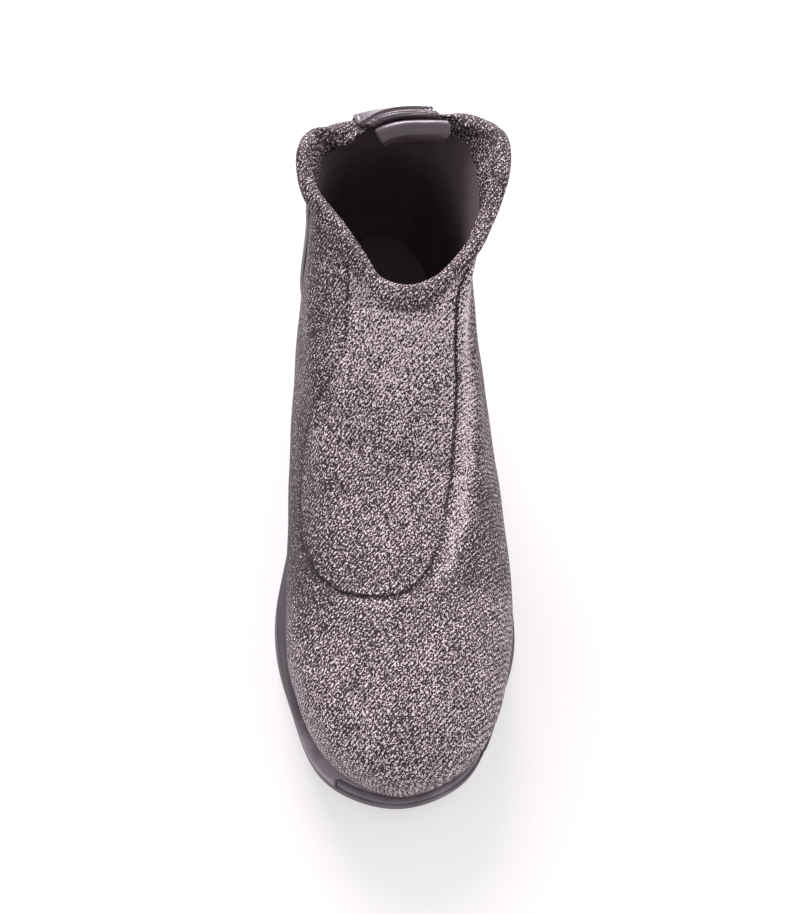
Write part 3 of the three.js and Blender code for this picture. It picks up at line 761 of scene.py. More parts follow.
def seam_distance(p):
    """Distance in space from points to the panel's outline, less than nothing inside it, and how strongly
    the seam shows at the nearest place of the outline."""
    shape = p.shape[:-1]
    p = p.reshape(-1, 3)
    far = np.empty(len(p))
    strong = np.empty(len(p))
    for k in range(0, len(p), 8000):
        square = ((p[k : k + 8000, None] - edge_points[None]) ** 2).sum(axis=-1)
        near = square.argmin(axis=1)
        far[k : k + 8000] = np.sqrt(square[np.arange(len(near)), near])
        strong[k : k + 8000] = shows[near]
    flat, rise = panel_flat(p)
    a = edge_flat[:-1:6]
    b = np.concatenate([a[1:], a[:1]])
    inside = np.zeros(len(p), dtype=bool)
    for (ax, ay), (bx, by) in zip(a, b):
        crosses = (ay > flat[:, 1]) != (by > flat[:, 1])
        if ay != by:
            inside ^= crosses & (flat[:, 0] < ax + (flat[:, 1] - ay) * (bx - ax) / (by - ay))
    inside &= rise > -30
    return np.where(inside, -far, far).reshape(shape), strong.reshape(shape)


# Soft troughs and ridges of the worn upper. Each is a line in u and v, with its depth and half width.
CREASES = [
    {"line": [(0.30, 0.66), (0.36, 0.72), (0.43, 0.77), (0.5, 0.79)], "depth": 0.8, "width": 5.0},
    {"line": [(0.70, 0.64), (0.64, 0.7), (0.58, 0.75), (0.52, 0.78)], "depth": 0.7, "width": 5.0},
    {"line": [(0.28, 0.74), (0.34, 0.79), (0.4, 0.83)], "depth": -0.5, "width": 4.0},
    {"line": [(0.36, 0.12), (0.38, 0.3), (0.4, 0.44)], "depth": 0.5, "width": 7.0},
]


def cloth_relief(u, v, p):
    """How far the cloth stands out: slow waves from a few sines, less a soft dip along each crease."""
    x, y, z = p[..., 0], p[..., 1], p[..., 2]
    out = 0.16 * np.sin(x / 7.3 + 1.1 * np.sin(y / 13.7)) * np.sin(y / 9.1 + z / 8.3)
    out = out + 0.12 * np.sin(x / 4.1 - z / 6.2) * np.sin(y / 5.3 + x / 11.0)
    for row in CREASES:
        line = np.array(row["line"])
        t = np.linspace(0, len(line) - 1, 60)
        spot = on_line(line, t)
        at = upper_face(spot[:, 0], spot[:, 1])
        far = np.sqrt(((p[..., None, :] - at) ** 2).sum(axis=-1).min(axis=-1))
        out = out - row["depth"] * np.exp(-((far / row["width"]) ** 2))
    return out * smooth(v / 0.1)


AROUND = 400
OUTER_ROWS = 165
INNER_ROWS = 10
KNIT_THICKNESS = 1.6
TURN_IN = 17
# The strap presses the collar to this share of its thickness at the back
CUFF_PRESSED = 0.15
# Half width of the seam's trough, and the height, place and half width of the soft ridge outside it
SEAM_WIDTH = 1.3
RIDGE_HEIGHT = 0.6
RIDGE_PLACE = 4.0
RIDGE_WIDTH = 2.2
s = np.arange(AROUND) / AROUND
ring_u = s + 0.45 * np.sin(2 * np.pi * s) / (2 * np.pi)
foot = v_below(ring_u, CUFF_HEIGHT * 1.02)
rise = np.linspace(0, 1, OUTER_ROWS, endpoint=False)
skin_u = np.broadcast_to(ring_u, (OUTER_ROWS, AROUND))
skin_v = rise[:, None] * foot[None, :]
face = upper_face(skin_u, skin_v)
seam, strong = seam_distance(face)
out = cloth_relief(skin_u, skin_v, face)
out = out - (0.1 + 1.2 * strong) * np.exp(-((np.maximum(seam, 0) / SEAM_WIDTH) ** 2)) * (seam > -3)
out = out + RIDGE_HEIGHT * strong * np.exp(-(((seam - RIDGE_PLACE) / RIDGE_WIDTH) ** 2))
out = np.where(seam < 0, out - 0.5 * smooth(-seam), out)
skin = upper_point(skin_u, skin_v, out)
roll = on_line(np.array(CUFF_ROWS), np.linspace(0, len(CUFF_ROWS) - 1, 40))
roll_v = np.stack([v_below(ring_u, np.maximum(CUFF_HEIGHT * down, 0)) for down in roll[:, 0]])
puff = 1 + 0.05 * np.sin(2 * np.pi * ring_u * 9) + 0.03 * np.sin(2 * np.pi * ring_u * 23 + 1)
round_back = np.mod(ring_u + 0.5, 1.0) - 0.5
puff = puff * (1 - (1 - CUFF_PRESSED) * np.exp(-((round_back / 0.065) ** 6)))
roll_out = CUFF_THICKNESS * roll[:, 1][:, None] * puff[None, :]
collar = upper_point(np.broadcast_to(ring_u, roll_v.shape), roll_v, roll_out)
turn_in = v_below(ring_u, TURN_IN)
band_top = v_below(ring_u, CUFF_HEIGHT * 1.3)
band_out = np.array([-0.47, -0.45, -0.44, -0.43, -0.42, -0.4, -0.3])[:, None] * CUFF_THICKNESS
band_v = band_top[None, :] + (turn_in - band_top)[None, :] * np.linspace(0, 1, len(band_out))[:, None]
band = upper_point(np.broadcast_to(ring_u, band_v.shape), band_v, band_out * puff[None, :])
collar = np.concatenate([collar, band])
inner_v = np.linspace(1, 0, INNER_ROWS)[:, None] * (turn_in - 0.004)[None, :]
inner = upper_point(np.broadcast_to(ring_u, inner_v.shape), inner_v, -KNIT_THICKNESS)
section = np.concatenate([skin, collar, inner])
# Tone of the knit: painted shade in the seam, on the medial side and on the lateral flank, darker on the
# collar's roll, and a painted highlight in a band outside the lateral seam
# Soft spots of painted light and shade: each a place in millimetres, a half width, and how much paler or
# darker
PAINTED_LIGHT_SPOTS = [
    {"at": (-12, -55, 42), "wide": 34, "by": -0.03},
    {"at": (0, 24, 108), "wide": 20, "by": 0.034},
    {"at": (-42, -38, 45), "wide": 26, "by": -0.02},
    {"at": (0, -122, 24), "wide": 22, "by": -0.014},
    {"at": (27, -5, 78), "wide": 16, "by": 0.015},
]


def painted_light_tone(p):
    """Painted light and shade in the knit's tone: a bell curve round each place, and a little darker all
    over.
    """
    square = lambda row: ((p - np.array(row["at"])) ** 2).sum(axis=-1)
    return -0.006 + sum(row["by"] * np.exp(-square(row) / row["wide"] ** 2) for row in PAINTED_LIGHT_SPOTS)


# A painted highlight in a band just outside the lateral seam, where the cloth faces the light
lateral_painted_highlight = np.exp(-(((seam - 6.0) / 3.6) ** 2)) * (face[..., 0] > 0) * smooth((60 - face[..., 1]) / 25)
lateral_painted_highlight = lateral_painted_highlight * smooth((face[..., 1] + 75) / 30)
# Painted shade on the medial flank
medial_painted_shade = smooth((-face[..., 0] - 18) / 22) * smooth((face[..., 1] + 95) / 60)


def seam_painted_shade(far, strong):
    """Painted shade in the seam's trough: dark within about a millimetre of the outline and gone by two."""
    return -0.16 * (0.06 + 0.94 * strong) * smooth((1.5 - np.abs(far)) / 1.2)


# Painted shade on the lateral flank, away from the seam
lateral_painted_shade = smooth((seam - 7) / 5) * (face[..., 0] > 0) * smooth((75 - np.abs(face[..., 1] + 5)) / 45)
tone_all = seam_painted_shade(seam, strong) + 0.05 * lateral_painted_highlight - 0.067 * medial_painted_shade - 0.045 * lateral_painted_shade
tone_all = tone_all + painted_light_tone(face)
roll_tone = -0.037 - 0.024 * (0.5 + 0.5 * np.cos(2 * np.pi * ring_u))
tone_all = np.concatenate([tone_all, np.broadcast_to(roll_tone, (len(collar) + len(inner), AROUND))])

# Melange stretch knit: a fine jersey of dark yarn with pale metallic ends that show as short slanting
# flecks, about 0.5 by 1.4 mm, in faint slanting rows 1.4 mm apart
knit, tree, shader = finish_of("melange_knit")
shader.inputs["IOR"].default_value = 1.5
shader.inputs["Roughness"].default_value = 0.62
where = add(tree, "ShaderNodeTexCoord")
SLANT = (0.0, math.radians(-35), math.radians(45))
FLECK = (0.00084, 0.00047, 0.00047)
ROW_SPACING = (0.006, 0.0014, 0.0014)
stroke_place = add(
    tree,
    "ShaderNodeMapping",
    {"Vector": where.outputs["Object"]},
    {"Rotation": SLANT, "Scale": FLECK},
    vector_type="TEXTURE",
)
stroke = add(
    tree,
    "ShaderNodeTexNoise",
    {"Vector": stroke_place.outputs["Vector"]},
    {"Scale": 1.0, "Detail": 1.5, "Roughness": 0.5},
)
cloud = add(tree, "ShaderNodeTexNoise", {"Vector": where.outputs["Object"]}, {"Scale": 60.0, "Detail": 3.0})
line_place = add(
    tree,
    "ShaderNodeMapping",
    {"Vector": where.outputs["Object"]},
    {"Rotation": SLANT, "Scale": ROW_SPACING},
    vector_type="TEXTURE",
)
line = add(
    tree,
    "ShaderNodeTexWave",
    {"Vector": line_place.outputs["Vector"]},
    {"Scale": 0.314, "Distortion": 2.2, "Detail": 2.0, "Detail Scale": 1.4},
    bands_direction="Y",
)
mixed = add(tree, "ShaderNodeMath", {0: stroke.outputs["Fac"]}, {1: 0.86}, operation="MULTIPLY")
for pattern, amount in ((line, 0.07), (cloud, 0.08)):
    mixed = add(
        tree,
        "ShaderNodeMath",
        {0: pattern.outputs["Fac"], 2: mixed.outputs[0]},
        {1: amount},
        operation="MULTIPLY_ADD",
    )
# The tone attribute carries the painted light and shade worked out for the upper and the panel
share = add(tree, "ShaderNodeAttribute", attribute_name="tone")
mixed = add(tree, "ShaderNodeMath", {0: mixed.outputs[0], 1: share.outputs["Fac"]}, operation="ADD")
tone = add(
    tree,
    "ShaderNodeValToRGB",
    {"Fac": mixed.outputs[0]},
    ramp=[(0.454, "#1e1117"), (0.508, "#49353c"), (0.547, "#aa9299"), (0.583, "#ffedf3")],
)
bump = add(
    tree,
    "ShaderNodeBump",
    {"Height": mixed.outputs[0]},
    {"Strength": 0.8, "Distance": 0.0012},
)
tree.links.new(tone.outputs["Color"], shader.inputs["Base Color"])
tree.links.new(bump.outputs["Normal"], shader.inputs["Normal"])

faces = quads(len(section), AROUND, True, True)
upper = make_piece("knit_upper", section, faces, knit, values={"tone": tone_all})
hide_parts("upper_knit")

# Lining
# A thin dark jersey glued inside the knit, from the collar's roll down to the sole.
lining_cloth, tree, shader = finish_of("jersey_lining")
shader.inputs["Roughness"].default_value = 0.9
shader.inputs["Specular IOR Level"].default_value = 0.25
where = add(tree, "ShaderNodeTexCoord")
weave = add(tree, "ShaderNodeTexVoronoi", {"Vector": where.outputs["Object"]}, {"Scale": 1500.0})
patch = add(tree, "ShaderNodeTexNoise", {"Vector": where.outputs["Object"]}, {"Scale": 30.0, "Detail": 3.0})
piece = add(tree, "ShaderNodeAttribute", attribute_name="side_piece")
shade = add(
    tree,
    "ShaderNodeMath",
    {0: patch.outputs["Fac"], 2: piece.outputs["Fac"]},
    {1: 0.4},
    operation="MULTIPLY_ADD",
)
tone = add(
    tree,
    "ShaderNodeValToRGB",
    {"Fac": shade.outputs[0]},
    ramp=[(0.1, "#5c4c4f"), (0.3, "#645457"), (0.9, "#52454a"), (1.0, "#5a4d52")],
)
bump = add(
    tree,
    "ShaderNodeBump",
    {"Height": weave.outputs["Distance"]},
    {"Strength": 0.4, "Distance": 0.0003},
)
tree.links.new(tone.outputs["Color"], shader.inputs["Base Color"])
tree.links.new(bump.outputs["Normal"], shader.inputs["Normal"])

LINING_AROUND = 200
LINING_ROWS = 50
LINING_SEAM = 0.062
u = np.arange(LINING_AROUND) / LINING_AROUND
top = v_below(u, TURN_IN - 3)
down = np.linspace(0, 1, LINING_ROWS)[:, None] * top[None, :]
wide_u = np.broadcast_to(u, down.shape)
outer = upper_point(wide_u, down, -KNIT_THICKNESS - 0.1)
inner = upper_point(wide_u, down[::-1], -UPPER_WALL)
section = np.concatenate([outer, inner])
round_back = np.mod(np.concatenate([wide_u, wide_u]) + 0.5, 1.0) - 0.5
side_piece = 0.8 * (np.abs(round_back) > LINING_SEAM)
lining = make_piece(
    "lining",
    section,
    quads(2 * LINING_ROWS, LINING_AROUND, True, True),
    lining_cloth,
    crease=60,
    values={"side_piece": side_piece},
)

# Insole
# A foam footbed with a dark cloth cover, laid in the bottom and glued.
INSOLE_THICKNESS = 3
INSOLE_AROUND = 240
INSOLE_ACROSS = 9
# The edge's rows from below, each with how far it is moved in and its height
INSOLE_ROWS = [
    (0.6, 0.0),
    (0.15, 0.2),
    (0.0, 0.8),
    (0.0, INSOLE_THICKNESS - 1.0),
    (0.3, INSOLE_THICKNESS - 0.3),
    (0.9, INSOLE_THICKNESS - 0.05),
    (1.6, INSOLE_THICKNESS),
]
u = np.arange(INSOLE_AROUND) / INSOLE_AROUND
rows = []
for inset, up in INSOLE_ROWS:
    ring = upper_point(u, np.zeros_like(u), -UPPER_WALL - GAP - inset)
    ring[:, 2] += up
    rows.append(ring)
rows = np.stack(rows)
half_u = np.arange(INSOLE_AROUND // 2 + 1)
other = (INSOLE_AROUND - half_u) % INSOLE_AROUND
strips = np.linspace(0, 1, INSOLE_ACROSS)[None, :, None]
top = rows[-1][half_u][:, None] * (1 - strips) + rows[-1][other][:, None] * strips
base = rows[0][half_u][:, None] * (1 - strips) + rows[0][other][:, None] * strips
faces = np.concatenate(
    [
        quads(len(rows), INSOLE_AROUND, False, True),
        quads(len(half_u), INSOLE_ACROSS, start=rows.size // 3)[:, ::-1],
        quads(len(half_u), INSOLE_ACROSS, start=rows.size // 3 + top.size // 3),
    ]
)
points = np.concatenate([rows.reshape(-1, 3), top.reshape(-1, 3), base.reshape(-1, 3)])
footbed = make_piece("footbed", points, faces, lining_cloth, crease=50)
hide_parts("insole")

# Instep panel
# A tongue-shaped piece of the same knit, let into the upper and sewn round its edge, so that its rim rolls
# down into the seam.
PANEL_LINES = 240
PANEL_ACROSS = 130
middle = (len(outline) - 1) / 2
w = np.linspace(0, 1, PANEL_ACROSS)
ends = lambda q: (on_line(outline, q * middle), on_line(outline, len(outline) - 1 - q * middle))


def panel_grid(q, w):
    """Flat places of the panel: straight lines between equal shares of its two sides."""
    left, right = ends(q)
    return left + (right - left) * w[..., None]


def closed_sheet(outer, inner):
    """Faces of two sheets of points of the same grid, the first facing out, joined round their border."""
    rows, columns = outer.shape[:2]
    n = rows * columns
    loop = np.concatenate(
        [
            np.arange(columns),
            np.arange(1, rows) * columns + columns - 1,
            n - 2 - np.arange(columns - 1),
            np.arange(rows - 2, 0, -1) * columns,
        ]
    )
    after = np.roll(loop, -1)
    border = np.stack([after, loop, loop + n, after + n], axis=-1)
    both = np.concatenate([outer.reshape(-1, 3), inner.reshape(-1, 3)])
    return both, np.concatenate([quads(rows, columns), quads(rows, columns)[:, ::-1] + n, border])


probe_t, probe_w = np.meshgrid(np.linspace(0, 0.4, 40), w, indexing="ij")
probe_v = on_upper(panel_grid(probe_t, probe_w))[1]
start = np.array([np.interp(-0.968, -probe_v[:, k], probe_t[:, k]) for k in range(PANEL_ACROSS)])
q = start[None, :] + (1 - start[None, :]) * (1 - (1 - np.linspace(0, 1, PANEL_LINES)) ** 1.5)[:, None]
q[-1] = 1.0
panel_u, panel_v = on_upper(panel_grid(q, np.broadcast_to(w, q.shape)))
face = upper_face(panel_u, panel_v)
rim, rim_strong = seam_distance(face)
rim = np.abs(rim)
rim[:, 0] = 0
rim[:, -1] = 0
rim[-1] = 0
curl = np.sqrt(np.clip(1 - (1 - np.clip(rim / 1.6, 0, 1)) ** 2, 0, 1))
# The panel's tone: painted shade in the seam and on its medial side, the painted light and shade spots, and a
# little painted light higher up
rim_tone = seam_painted_shade(rim, rim_strong) - 0.05 * smooth((-face[..., 0] - 22) / 22)
rim_tone = rim_tone + painted_light_tone(face) + 0.01 * smooth((face[..., 2] - 92) / 15)
drop = 0.12 + 1.0 * rim_strong
out = cloth_relief(panel_u, panel_v, face) + 0.05 - drop * (1 - curl)
upside = upper_point(panel_u, panel_v, out)
underside = upper_point(panel_u, panel_v, np.minimum(out - 0.06, -1.2))
points, faces = closed_sheet(upside, underside)
rim_tone = np.tile(rim_tone.reshape(-1), 2)
# The panel's lines run down the instep from the medial side, so its sheets are turned round to face out
panel = make_piece("knit_panel", points, faces[:, ::-1], knit, values={"tone": rim_tone})
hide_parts("instep_panel")

# Heel counter
# A moulded heel cover of smooth black leather, cut, skived at its edge and sewn over the knit.
COUNTER_THICKNESS = 1.3
COUNTER_FRONT = SOLE_LENGTH * (0.5 - 0.212)
leather, tree, shader = finish_of("smooth_black_leather")
shader.inputs["IOR"].default_value = 1.5
shader.inputs["Coat Weight"].default_value = 0.5
shader.inputs["Coat Roughness"].default_value = 0.26
where = add(tree, "ShaderNodeTexCoord")
grain = add(tree, "ShaderNodeTexVoronoi", {"Vector": where.outputs["Object"]}, {"Scale": 1100.0})
fold = add(
    tree,
    "ShaderNodeTexNoise",
    {"Vector": where.outputs["Object"]},
    {"Scale": 70.0, "Detail": 5.0, "Roughness": 0.55, "Distortion": 0.6},
)
tone = add(
    tree,
    "ShaderNodeValToRGB",
    {"Fac": fold.outputs["Fac"]},
    ramp=[(0.3, "#45383e"), (0.6, "#4d4046"), (0.8, "#584a51")],
)
gloss = add(
    tree,
    "ShaderNodeMapRange",
    {"Value": fold.outputs["Fac"]},
    {"From Min": 0.3, "From Max": 0.7, "To Min": 0.3, "To Max": 0.46},
)
fine = add(
    tree,
    "ShaderNodeBump",
    {"Height": grain.outputs["Distance"]},
    {"Strength": 0.25, "Distance": 0.0003},
    invert=True,
)
bump = add(
    tree,
    "ShaderNodeBump",
    {"Height": fold.outputs["Fac"], "Normal": fine.outputs["Normal"]},
    {"Strength": 0.35, "Distance": 0.0015},
)
tree.links.new(tone.outputs["Color"], shader.inputs["Base Color"])
tree.links.new(gloss.outputs["Result"], shader.inputs["Roughness"])
tree.links.new(bump.outputs["Normal"], shader.inputs["Normal"])

COUNTER_COLUMNS = 241
COUNTER_ROWS = 90
side_u = np.linspace(0, 0.3, 301)
place = np.linspace(-1, 1, COUNTER_COLUMNS)


def edge_u_at(v, line):
    """The u on the medial side where the face crosses a place along the shoe, for each v."""
    y = upper_face(side_u[None, :], v[:, None])[..., 1]
    return np.array([np.interp(-line, -row, side_u) for row in y])


counter_rise = np.linspace(0, 1, COUNTER_ROWS)
counter_top = v_below(place * edge_u_at(np.full(1, 0.97), COUNTER_FRONT)[0], CUFF_HEIGHT * 1.02 + GAP)
counter_wide = edge_u_at(counter_rise * counter_top[0], COUNTER_FRONT)
counter_u = place[None, :] * counter_wide[:, None]
counter_v = counter_rise[:, None] * counter_top[None, :]
face = upper_face(counter_u, counter_v)
steps_down = np.linalg.norm(np.diff(face[::-1], axis=0), axis=-1)
from_top = np.concatenate([np.zeros((1, COUNTER_COLUMNS)), np.cumsum(steps_down, axis=0)])[::-1]
half_round = np.linalg.norm(np.diff(face, axis=1), axis=-1).sum(axis=1) / 2
from_front = (1 - np.abs(place))[None, :] * half_round[:, None]
edge = np.minimum(from_top, from_front)
skive = np.sqrt(np.clip(1 - (1 - np.clip(edge / 1.1, 0, 1)) ** 2, 0, 1))
dent = 0.28 * np.exp(-(((from_front - 2.6) / 0.5) ** 2)) + 0.28 * np.exp(-(((from_front - 5.2) / 0.5) ** 2))
waves = 0.12 * np.sin(face[..., 2] / 9 + 2) * np.sin(face[..., 1] / 13 + face[..., 0] / 17)
outer_out = GAP + 0.25 + (COUNTER_THICKNESS - 0.25) * skive - dent * (from_top > 1) + waves * skive
outer = upper_point(counter_u, counter_v, outer_out)
inner = upper_point(counter_u, counter_v, GAP)
# The columns run from the lateral edge to the medial one, so the outer sheet faces out as it is numbered
points, faces = closed_sheet(outer, inner)
counter = make_piece("leather_counter", points, faces, leather, crease=50)
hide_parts("heel_counter")

# Back strip
# A leather strap from the sole up the heel, over the collar and down inside it, with two rows of stitches
# along each edge.
STRIP_WIDTH = 29
STRIP_THICKNESS = 1.3
STRIP_TAIL = 9
CUFF_OUT = CUFF_THICKNESS * 0.43 * CUFF_PRESSED
CUFF_IN = CUFF_THICKNESS * 0.58 * CUFF_PRESSED
STRIP_LOW = GAP + COUNTER_THICKNESS + GAP
STRIP_OUT = max(STRIP_LOW, CUFF_OUT + GAP)
STRIP_SLANT = 4.5
STRIP_COLUMNS = 61


def u_across(v, distance):
    """The u at a walked distance round from the back, for each v and each distance."""
    walk = np.linalg.norm(np.diff(upper_face(side_u[None, :], v[:, None]), axis=1), axis=-1)
    walk = np.concatenate([np.zeros((len(v), 1)), np.cumsum(walk, axis=1)], axis=1)
    turn = np.array([np.interp(np.abs(distance), w, side_u) for w in walk])
    return turn * np.sign(distance)[None, :]


def collar_point(u, out, up):
    """A point over the collar's top, out and up from the middle of its edge."""
    edge = upper_face(u, 1.0)
    rise = edge - upper_face(u, 0.99)
    rise = rise / np.linalg.norm(rise, axis=-1, keepdims=True)
    return edge + upper_normal(u, 1.0) * out[..., None] + rise * up[..., None]


def strip_sheet(across, extra):
    """The strap's surface: rows up the heel, half a turn over the collar, and a tail down inside. It slants
    a little to the medial side over the collar, and its loop stands up with two soft folds."""
    middle = (CUFF_OUT - CUFF_IN) / 2
    reach = (CUFF_OUT + CUFF_IN) / 2 + GAP
    low, high = v_below(np.zeros(2), np.array([2.1, 1.05]) * CUFF_HEIGHT)
    foot = v_below(np.array([0.0]), reach * 0.6)[0]
    v = np.linspace(0, foot, 76)
    stand = STRIP_LOW + (STRIP_OUT - STRIP_LOW) * smooth((v - low) / (high - low))
    lean = STRIP_SLANT * 0.5 * smooth((v - low) / (foot - low))
    walk = np.concatenate([[0], np.cumsum(np.linalg.norm(np.diff(upper_face(side_u, 1.0), axis=0), axis=-1))])
    base_u = u_across(v, across)
    next_u = u_across(v, across + 0.5)
    base_u = base_u + (next_u - base_u) * lean[:, None] / 0.5
    up = upper_point(base_u, v[:, None], stand[:, None] + extra)
    part = np.linspace(0, 1, 34)[1:-1, None]
    turn = np.pi * part
    wide = reach + extra
    mid = np.cos(np.clip(across / (STRIP_WIDTH / 2), -1, 1) * np.pi / 2)[None, :]
    bow = 1.2 * mid * np.sin(turn) ** 1.5
    fold = 0.55 * np.exp(-(((part - 0.3 + 0.05 * across[None, :] / STRIP_WIDTH) / 0.05) ** 2)) * mid
    fold = fold + 0.4 * np.exp(-(((part - 0.47 - 0.08 * across[None, :] / STRIP_WIDTH) / 0.045) ** 2)) * mid
    swing = across[None, :] + STRIP_SLANT * (0.5 - part)
    crown = np.interp(np.abs(swing), walk, side_u) * np.sign(swing)
    over = collar_point(
        crown,
        middle + (wide - fold) * np.cos(turn),
        -reach * 0.5 + (wide + reach * 0.5 - 0.4 + bow - fold) * np.sin(turn),
    )
    fall = np.linspace(0, 1, 14)[:, None]
    swing = across[None, :] - STRIP_SLANT * 0.5 + 0 * fall
    crown = np.interp(np.abs(swing), walk, side_u) * np.sign(swing)
    tail = collar_point(crown, middle - wide + 0 * fall, -reach * 0.5 - STRIP_TAIL * fall + 0 * swing)
    return np.concatenate([up, over, tail])


across = np.linspace(-1, 1, STRIP_COLUMNS) * STRIP_WIDTH / 2
rim = STRIP_WIDTH / 2 - np.abs(across)
curl = np.sqrt(np.clip(1 - (1 - np.clip(rim / 0.9, 0, 1)) ** 2, 0, 1))
dent = 0.3 * np.exp(-(((rim - 2.2) / 0.45) ** 2)) + 0.3 * np.exp(-(((rim - 4.4) / 0.45) ** 2))
thick = 0.3 + (STRIP_THICKNESS - 0.3) * curl - dent
outer = strip_sheet(across, thick[None, :])
inner = strip_sheet(across, np.zeros((1, STRIP_COLUMNS)))
points, faces = closed_sheet(outer, inner)
strap = make_piece("leather_back_strip", points, faces, leather, crease=55)
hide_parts("back_strip")

# Collar tab
# A thick roll of leather sewn over the strap's inner end, for pulling the boot on. Its front turns down to
# the inside, behind a raised edge with a row of stitches.
TAB_WIDTH = 31.5
TAB_HEIGHT = 10
TAB_DEPTH = 9.2
TAB_RISE = 0.8
TAB_SHIFT = 1.7
TAB_CENTRE = -CUFF_IN - 1.2 * GAP - STRIP_THICKNESS - TAB_DEPTH / 2
TAB_END = 1.2
TAB_LINES = 84
TAB_ACROSS = 65


def tab_section(span, turn, more=0.0):
    """The roll's surface: a rounded box in section by the turn, thinner at its ends, whose inner side falls
    off with the square, and with a small bead along the edge of its top. More moves it outwards."""
    near_end = np.clip((1 - np.abs(span)) * TAB_WIDTH / 2 / TAB_END, 0, 1)
    end = np.sqrt(np.clip(1 - (1 - near_end) ** 2, 0, 1))[None, :]
    square = lambda wave: np.sign(wave) * np.abs(wave) ** 0.55
    wide = TAB_DEPTH / 2 * square(np.cos(turn))[:, None] * (0.45 + 0.55 * end)
    high = TAB_HEIGHT / 2 * square(np.sin(turn))[:, None] * (0.85 + 0.15 * end)
    fall = square_rise((-wide - 0.6) / 4.0) * 4.2
    bead = 0.7 * np.exp(-(((wide + 1.0) / 0.45) ** 2)) * (high > 0) * end
    ripple = 0.15 * np.sin(span * 9 + 1)[None, :] * np.sin(turn * 2)[:, None]
    radial = more / np.hypot(wide, high)
    u = u_across(np.array([1.0]), span * TAB_WIDTH / 2 - TAB_SHIFT)[0]
    out = TAB_CENTRE + wide * (1 + radial)
    up = TAB_RISE + high * (1 + radial) - fall + bead + ripple
    return collar_point(np.broadcast_to(u, out.shape), out, up)


span = np.linspace(-1, 1, TAB_ACROSS)
turn = 2 * np.pi * (np.arange(TAB_LINES) + 0.5) / TAB_LINES
section = tab_section(span, turn)
caps = []
for column in (0, TAB_ACROSS - 1):
    ring = np.arange(TAB_LINES) * TAB_ACROSS + column
    last = TAB_LINES - 1
    fan = [[ring[k], ring[k + 1], ring[last - 1 - k], ring[last - k]] for k in range(TAB_LINES // 2 - 1)]
    caps += fan if column else [f[::-1] for f in fan]
faces = np.concatenate([quads(TAB_LINES, TAB_ACROSS, True, False), np.array(caps)])
tab = make_piece("leather_collar_tab", section, faces, leather, crease=60)
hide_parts("collar_tab")

# Stitches
# Waxed polyester thread in lockstitch: double rows along the strap's edges and the counter's front edges, one
# row on the tab and one beside each seam of the lining.
STITCH_PITCH = 2.6
STITCH_LENGTH = 1.9
STITCH_LIFT = 0.16
STITCH_RINGS = 7
STITCH_SIDES = 6
THREAD_RADIUS = 0.24
thread, tree, shader = finish_of("waxed_polyester_thread")
shader.inputs["Roughness"].default_value = 0.5
shader.inputs["IOR"].default_value = 1.52
where = add(tree, "ShaderNodeTexCoord")
twist = add(tree, "ShaderNodeTexNoise", {"Vector": where.outputs["Object"]}, {"Scale": 900.0, "Detail": 1.0})
tone = add(
    tree,
    "ShaderNodeValToRGB",
    {"Fac": twist.outputs["Fac"]},
    ramp=[(0.35, "#4b3f45"), (0.65, "#6a5c63")],
)
tree.links.new(tone.outputs["Color"], shader.inputs["Base Color"])


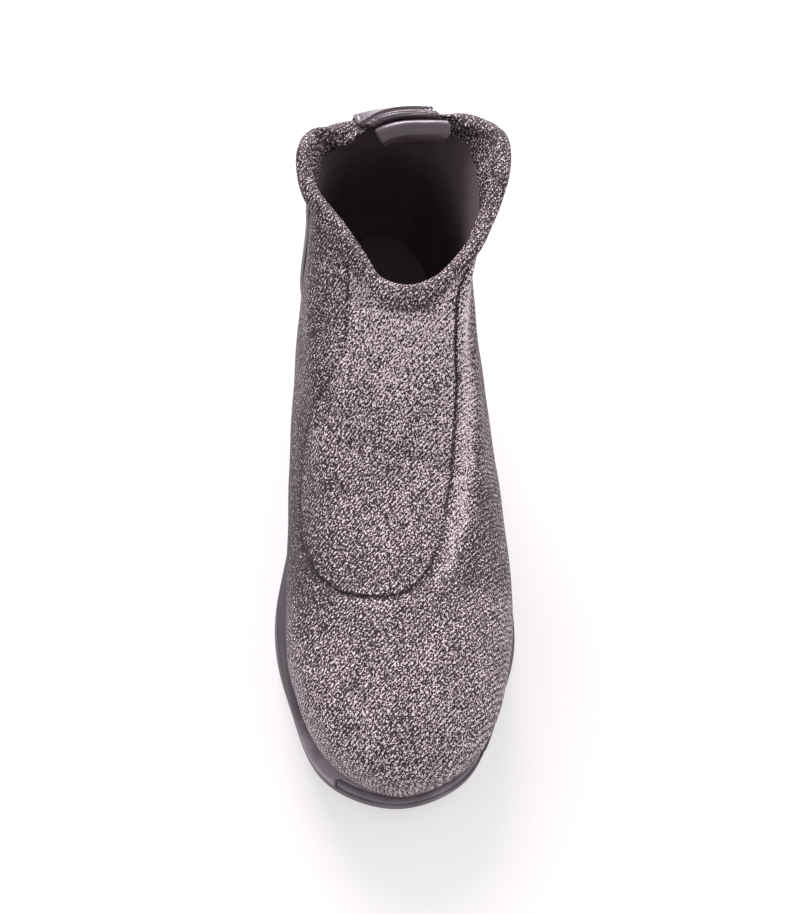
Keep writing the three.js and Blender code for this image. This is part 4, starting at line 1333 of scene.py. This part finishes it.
def stitches(path, outward):
    """Closed capsules one pitch apart along a path: each a circle carried along it, whose radius and height
    are the root of a half sine, with its ends in the leather."""
    walk = np.concatenate([[0], np.cumsum(np.linalg.norm(np.diff(path, axis=0), axis=-1))])
    count = int((walk[-1] - STITCH_LENGTH) // STITCH_PITCH) + 1
    along = np.linspace(0, 1, STITCH_RINGS)
    place = np.arange(count)[:, None] * STITCH_PITCH + 0.3 + along[None, :] * STITCH_LENGTH
    at = lambda values: np.stack([np.interp(place, walk, values[:, k]) for k in range(3)], axis=-1)
    middle = at(path)
    up = at(outward)
    tangent = np.gradient(middle, axis=1)
    tangent = tangent / np.linalg.norm(tangent, axis=-1, keepdims=True)
    up = up - (up * tangent).sum(axis=-1, keepdims=True) * tangent
    up = up / np.linalg.norm(up, axis=-1, keepdims=True)
    beside = np.cross(tangent, up)
    arch = np.sqrt(np.clip(np.sin(np.pi * along), 0, 1))[None, :, None]
    middle = middle + up * (STITCH_LIFT * arch - THREAD_RADIUS / 2)
    turn = (2 * np.pi * np.arange(STITCH_SIDES) / STITCH_SIDES)[:, None]
    ring = np.cos(turn) * beside[:, :, None] + np.sin(turn) * up[:, :, None]
    points = middle[:, :, None] + THREAD_RADIUS * arch[:, :, None] * ring
    cells = quads(STITCH_RINGS, STITCH_SIDES, False, True)
    faces = (cells[None] + STITCH_RINGS * STITCH_SIDES * np.arange(count)[:, None, None]).reshape(-1, 4)
    return points.reshape(-1, 3), faces


def sew(name, rows):
    """One piece of thread from several rows of stitches."""
    starts = np.cumsum([0] + [len(points) for points, faces in rows[:-1]])
    points = np.concatenate([points for points, faces in rows])
    faces = np.concatenate([faces + start for (_, faces), start in zip(rows, starts)])
    return make_piece(name, points, faces, thread)


strap_rows = []
counter_rows = []
lining_rows = []
for side in (-1, 1):
    for inset in (2.2, 4.4):
        line = np.array([side * (STRIP_WIDTH / 2 - inset)])
        on = strip_sheet(line, np.full((1, 1), STRIP_THICKNESS - 0.3))[2:-12, 0]
        above = strip_sheet(line, np.full((1, 1), STRIP_THICKNESS + 0.7))[2:-12, 0]
        strap_rows.append(stitches(on, above - on))
    for inset in (2.6, 5.2):
        share = side * (1 - inset / half_round)
        line_u = (share * counter_wide)[2:-3]
        line_v = (counter_rise * np.interp(share, place, counter_top))[2:-3]
        on = upper_point(line_u, line_v, GAP + COUNTER_THICKNESS - 0.28)
        counter_rows.append(stitches(on, upper_normal(line_u, line_v)))
    line_v = np.linspace(0.96, 0.2, 60)
    line_u = np.full(60, side * (LINING_SEAM + 0.007))
    on = upper_point(line_u, line_v, -UPPER_WALL)
    lining_rows.append(stitches(on, -upper_normal(line_u, line_v)))
line = np.linspace(-0.92, 0.92, 60)
on = tab_section(line, np.array([np.pi / 2 + 0.003]))[0]
above = tab_section(line, np.array([np.pi / 2 + 0.003]), 1.0)[0]
sew("strap_stitches", strap_rows)
sew("counter_stitches", counter_rows)
sew("lining_stitches", lining_rows)
sew("tab_stitches", [stitches(on, above - on)])
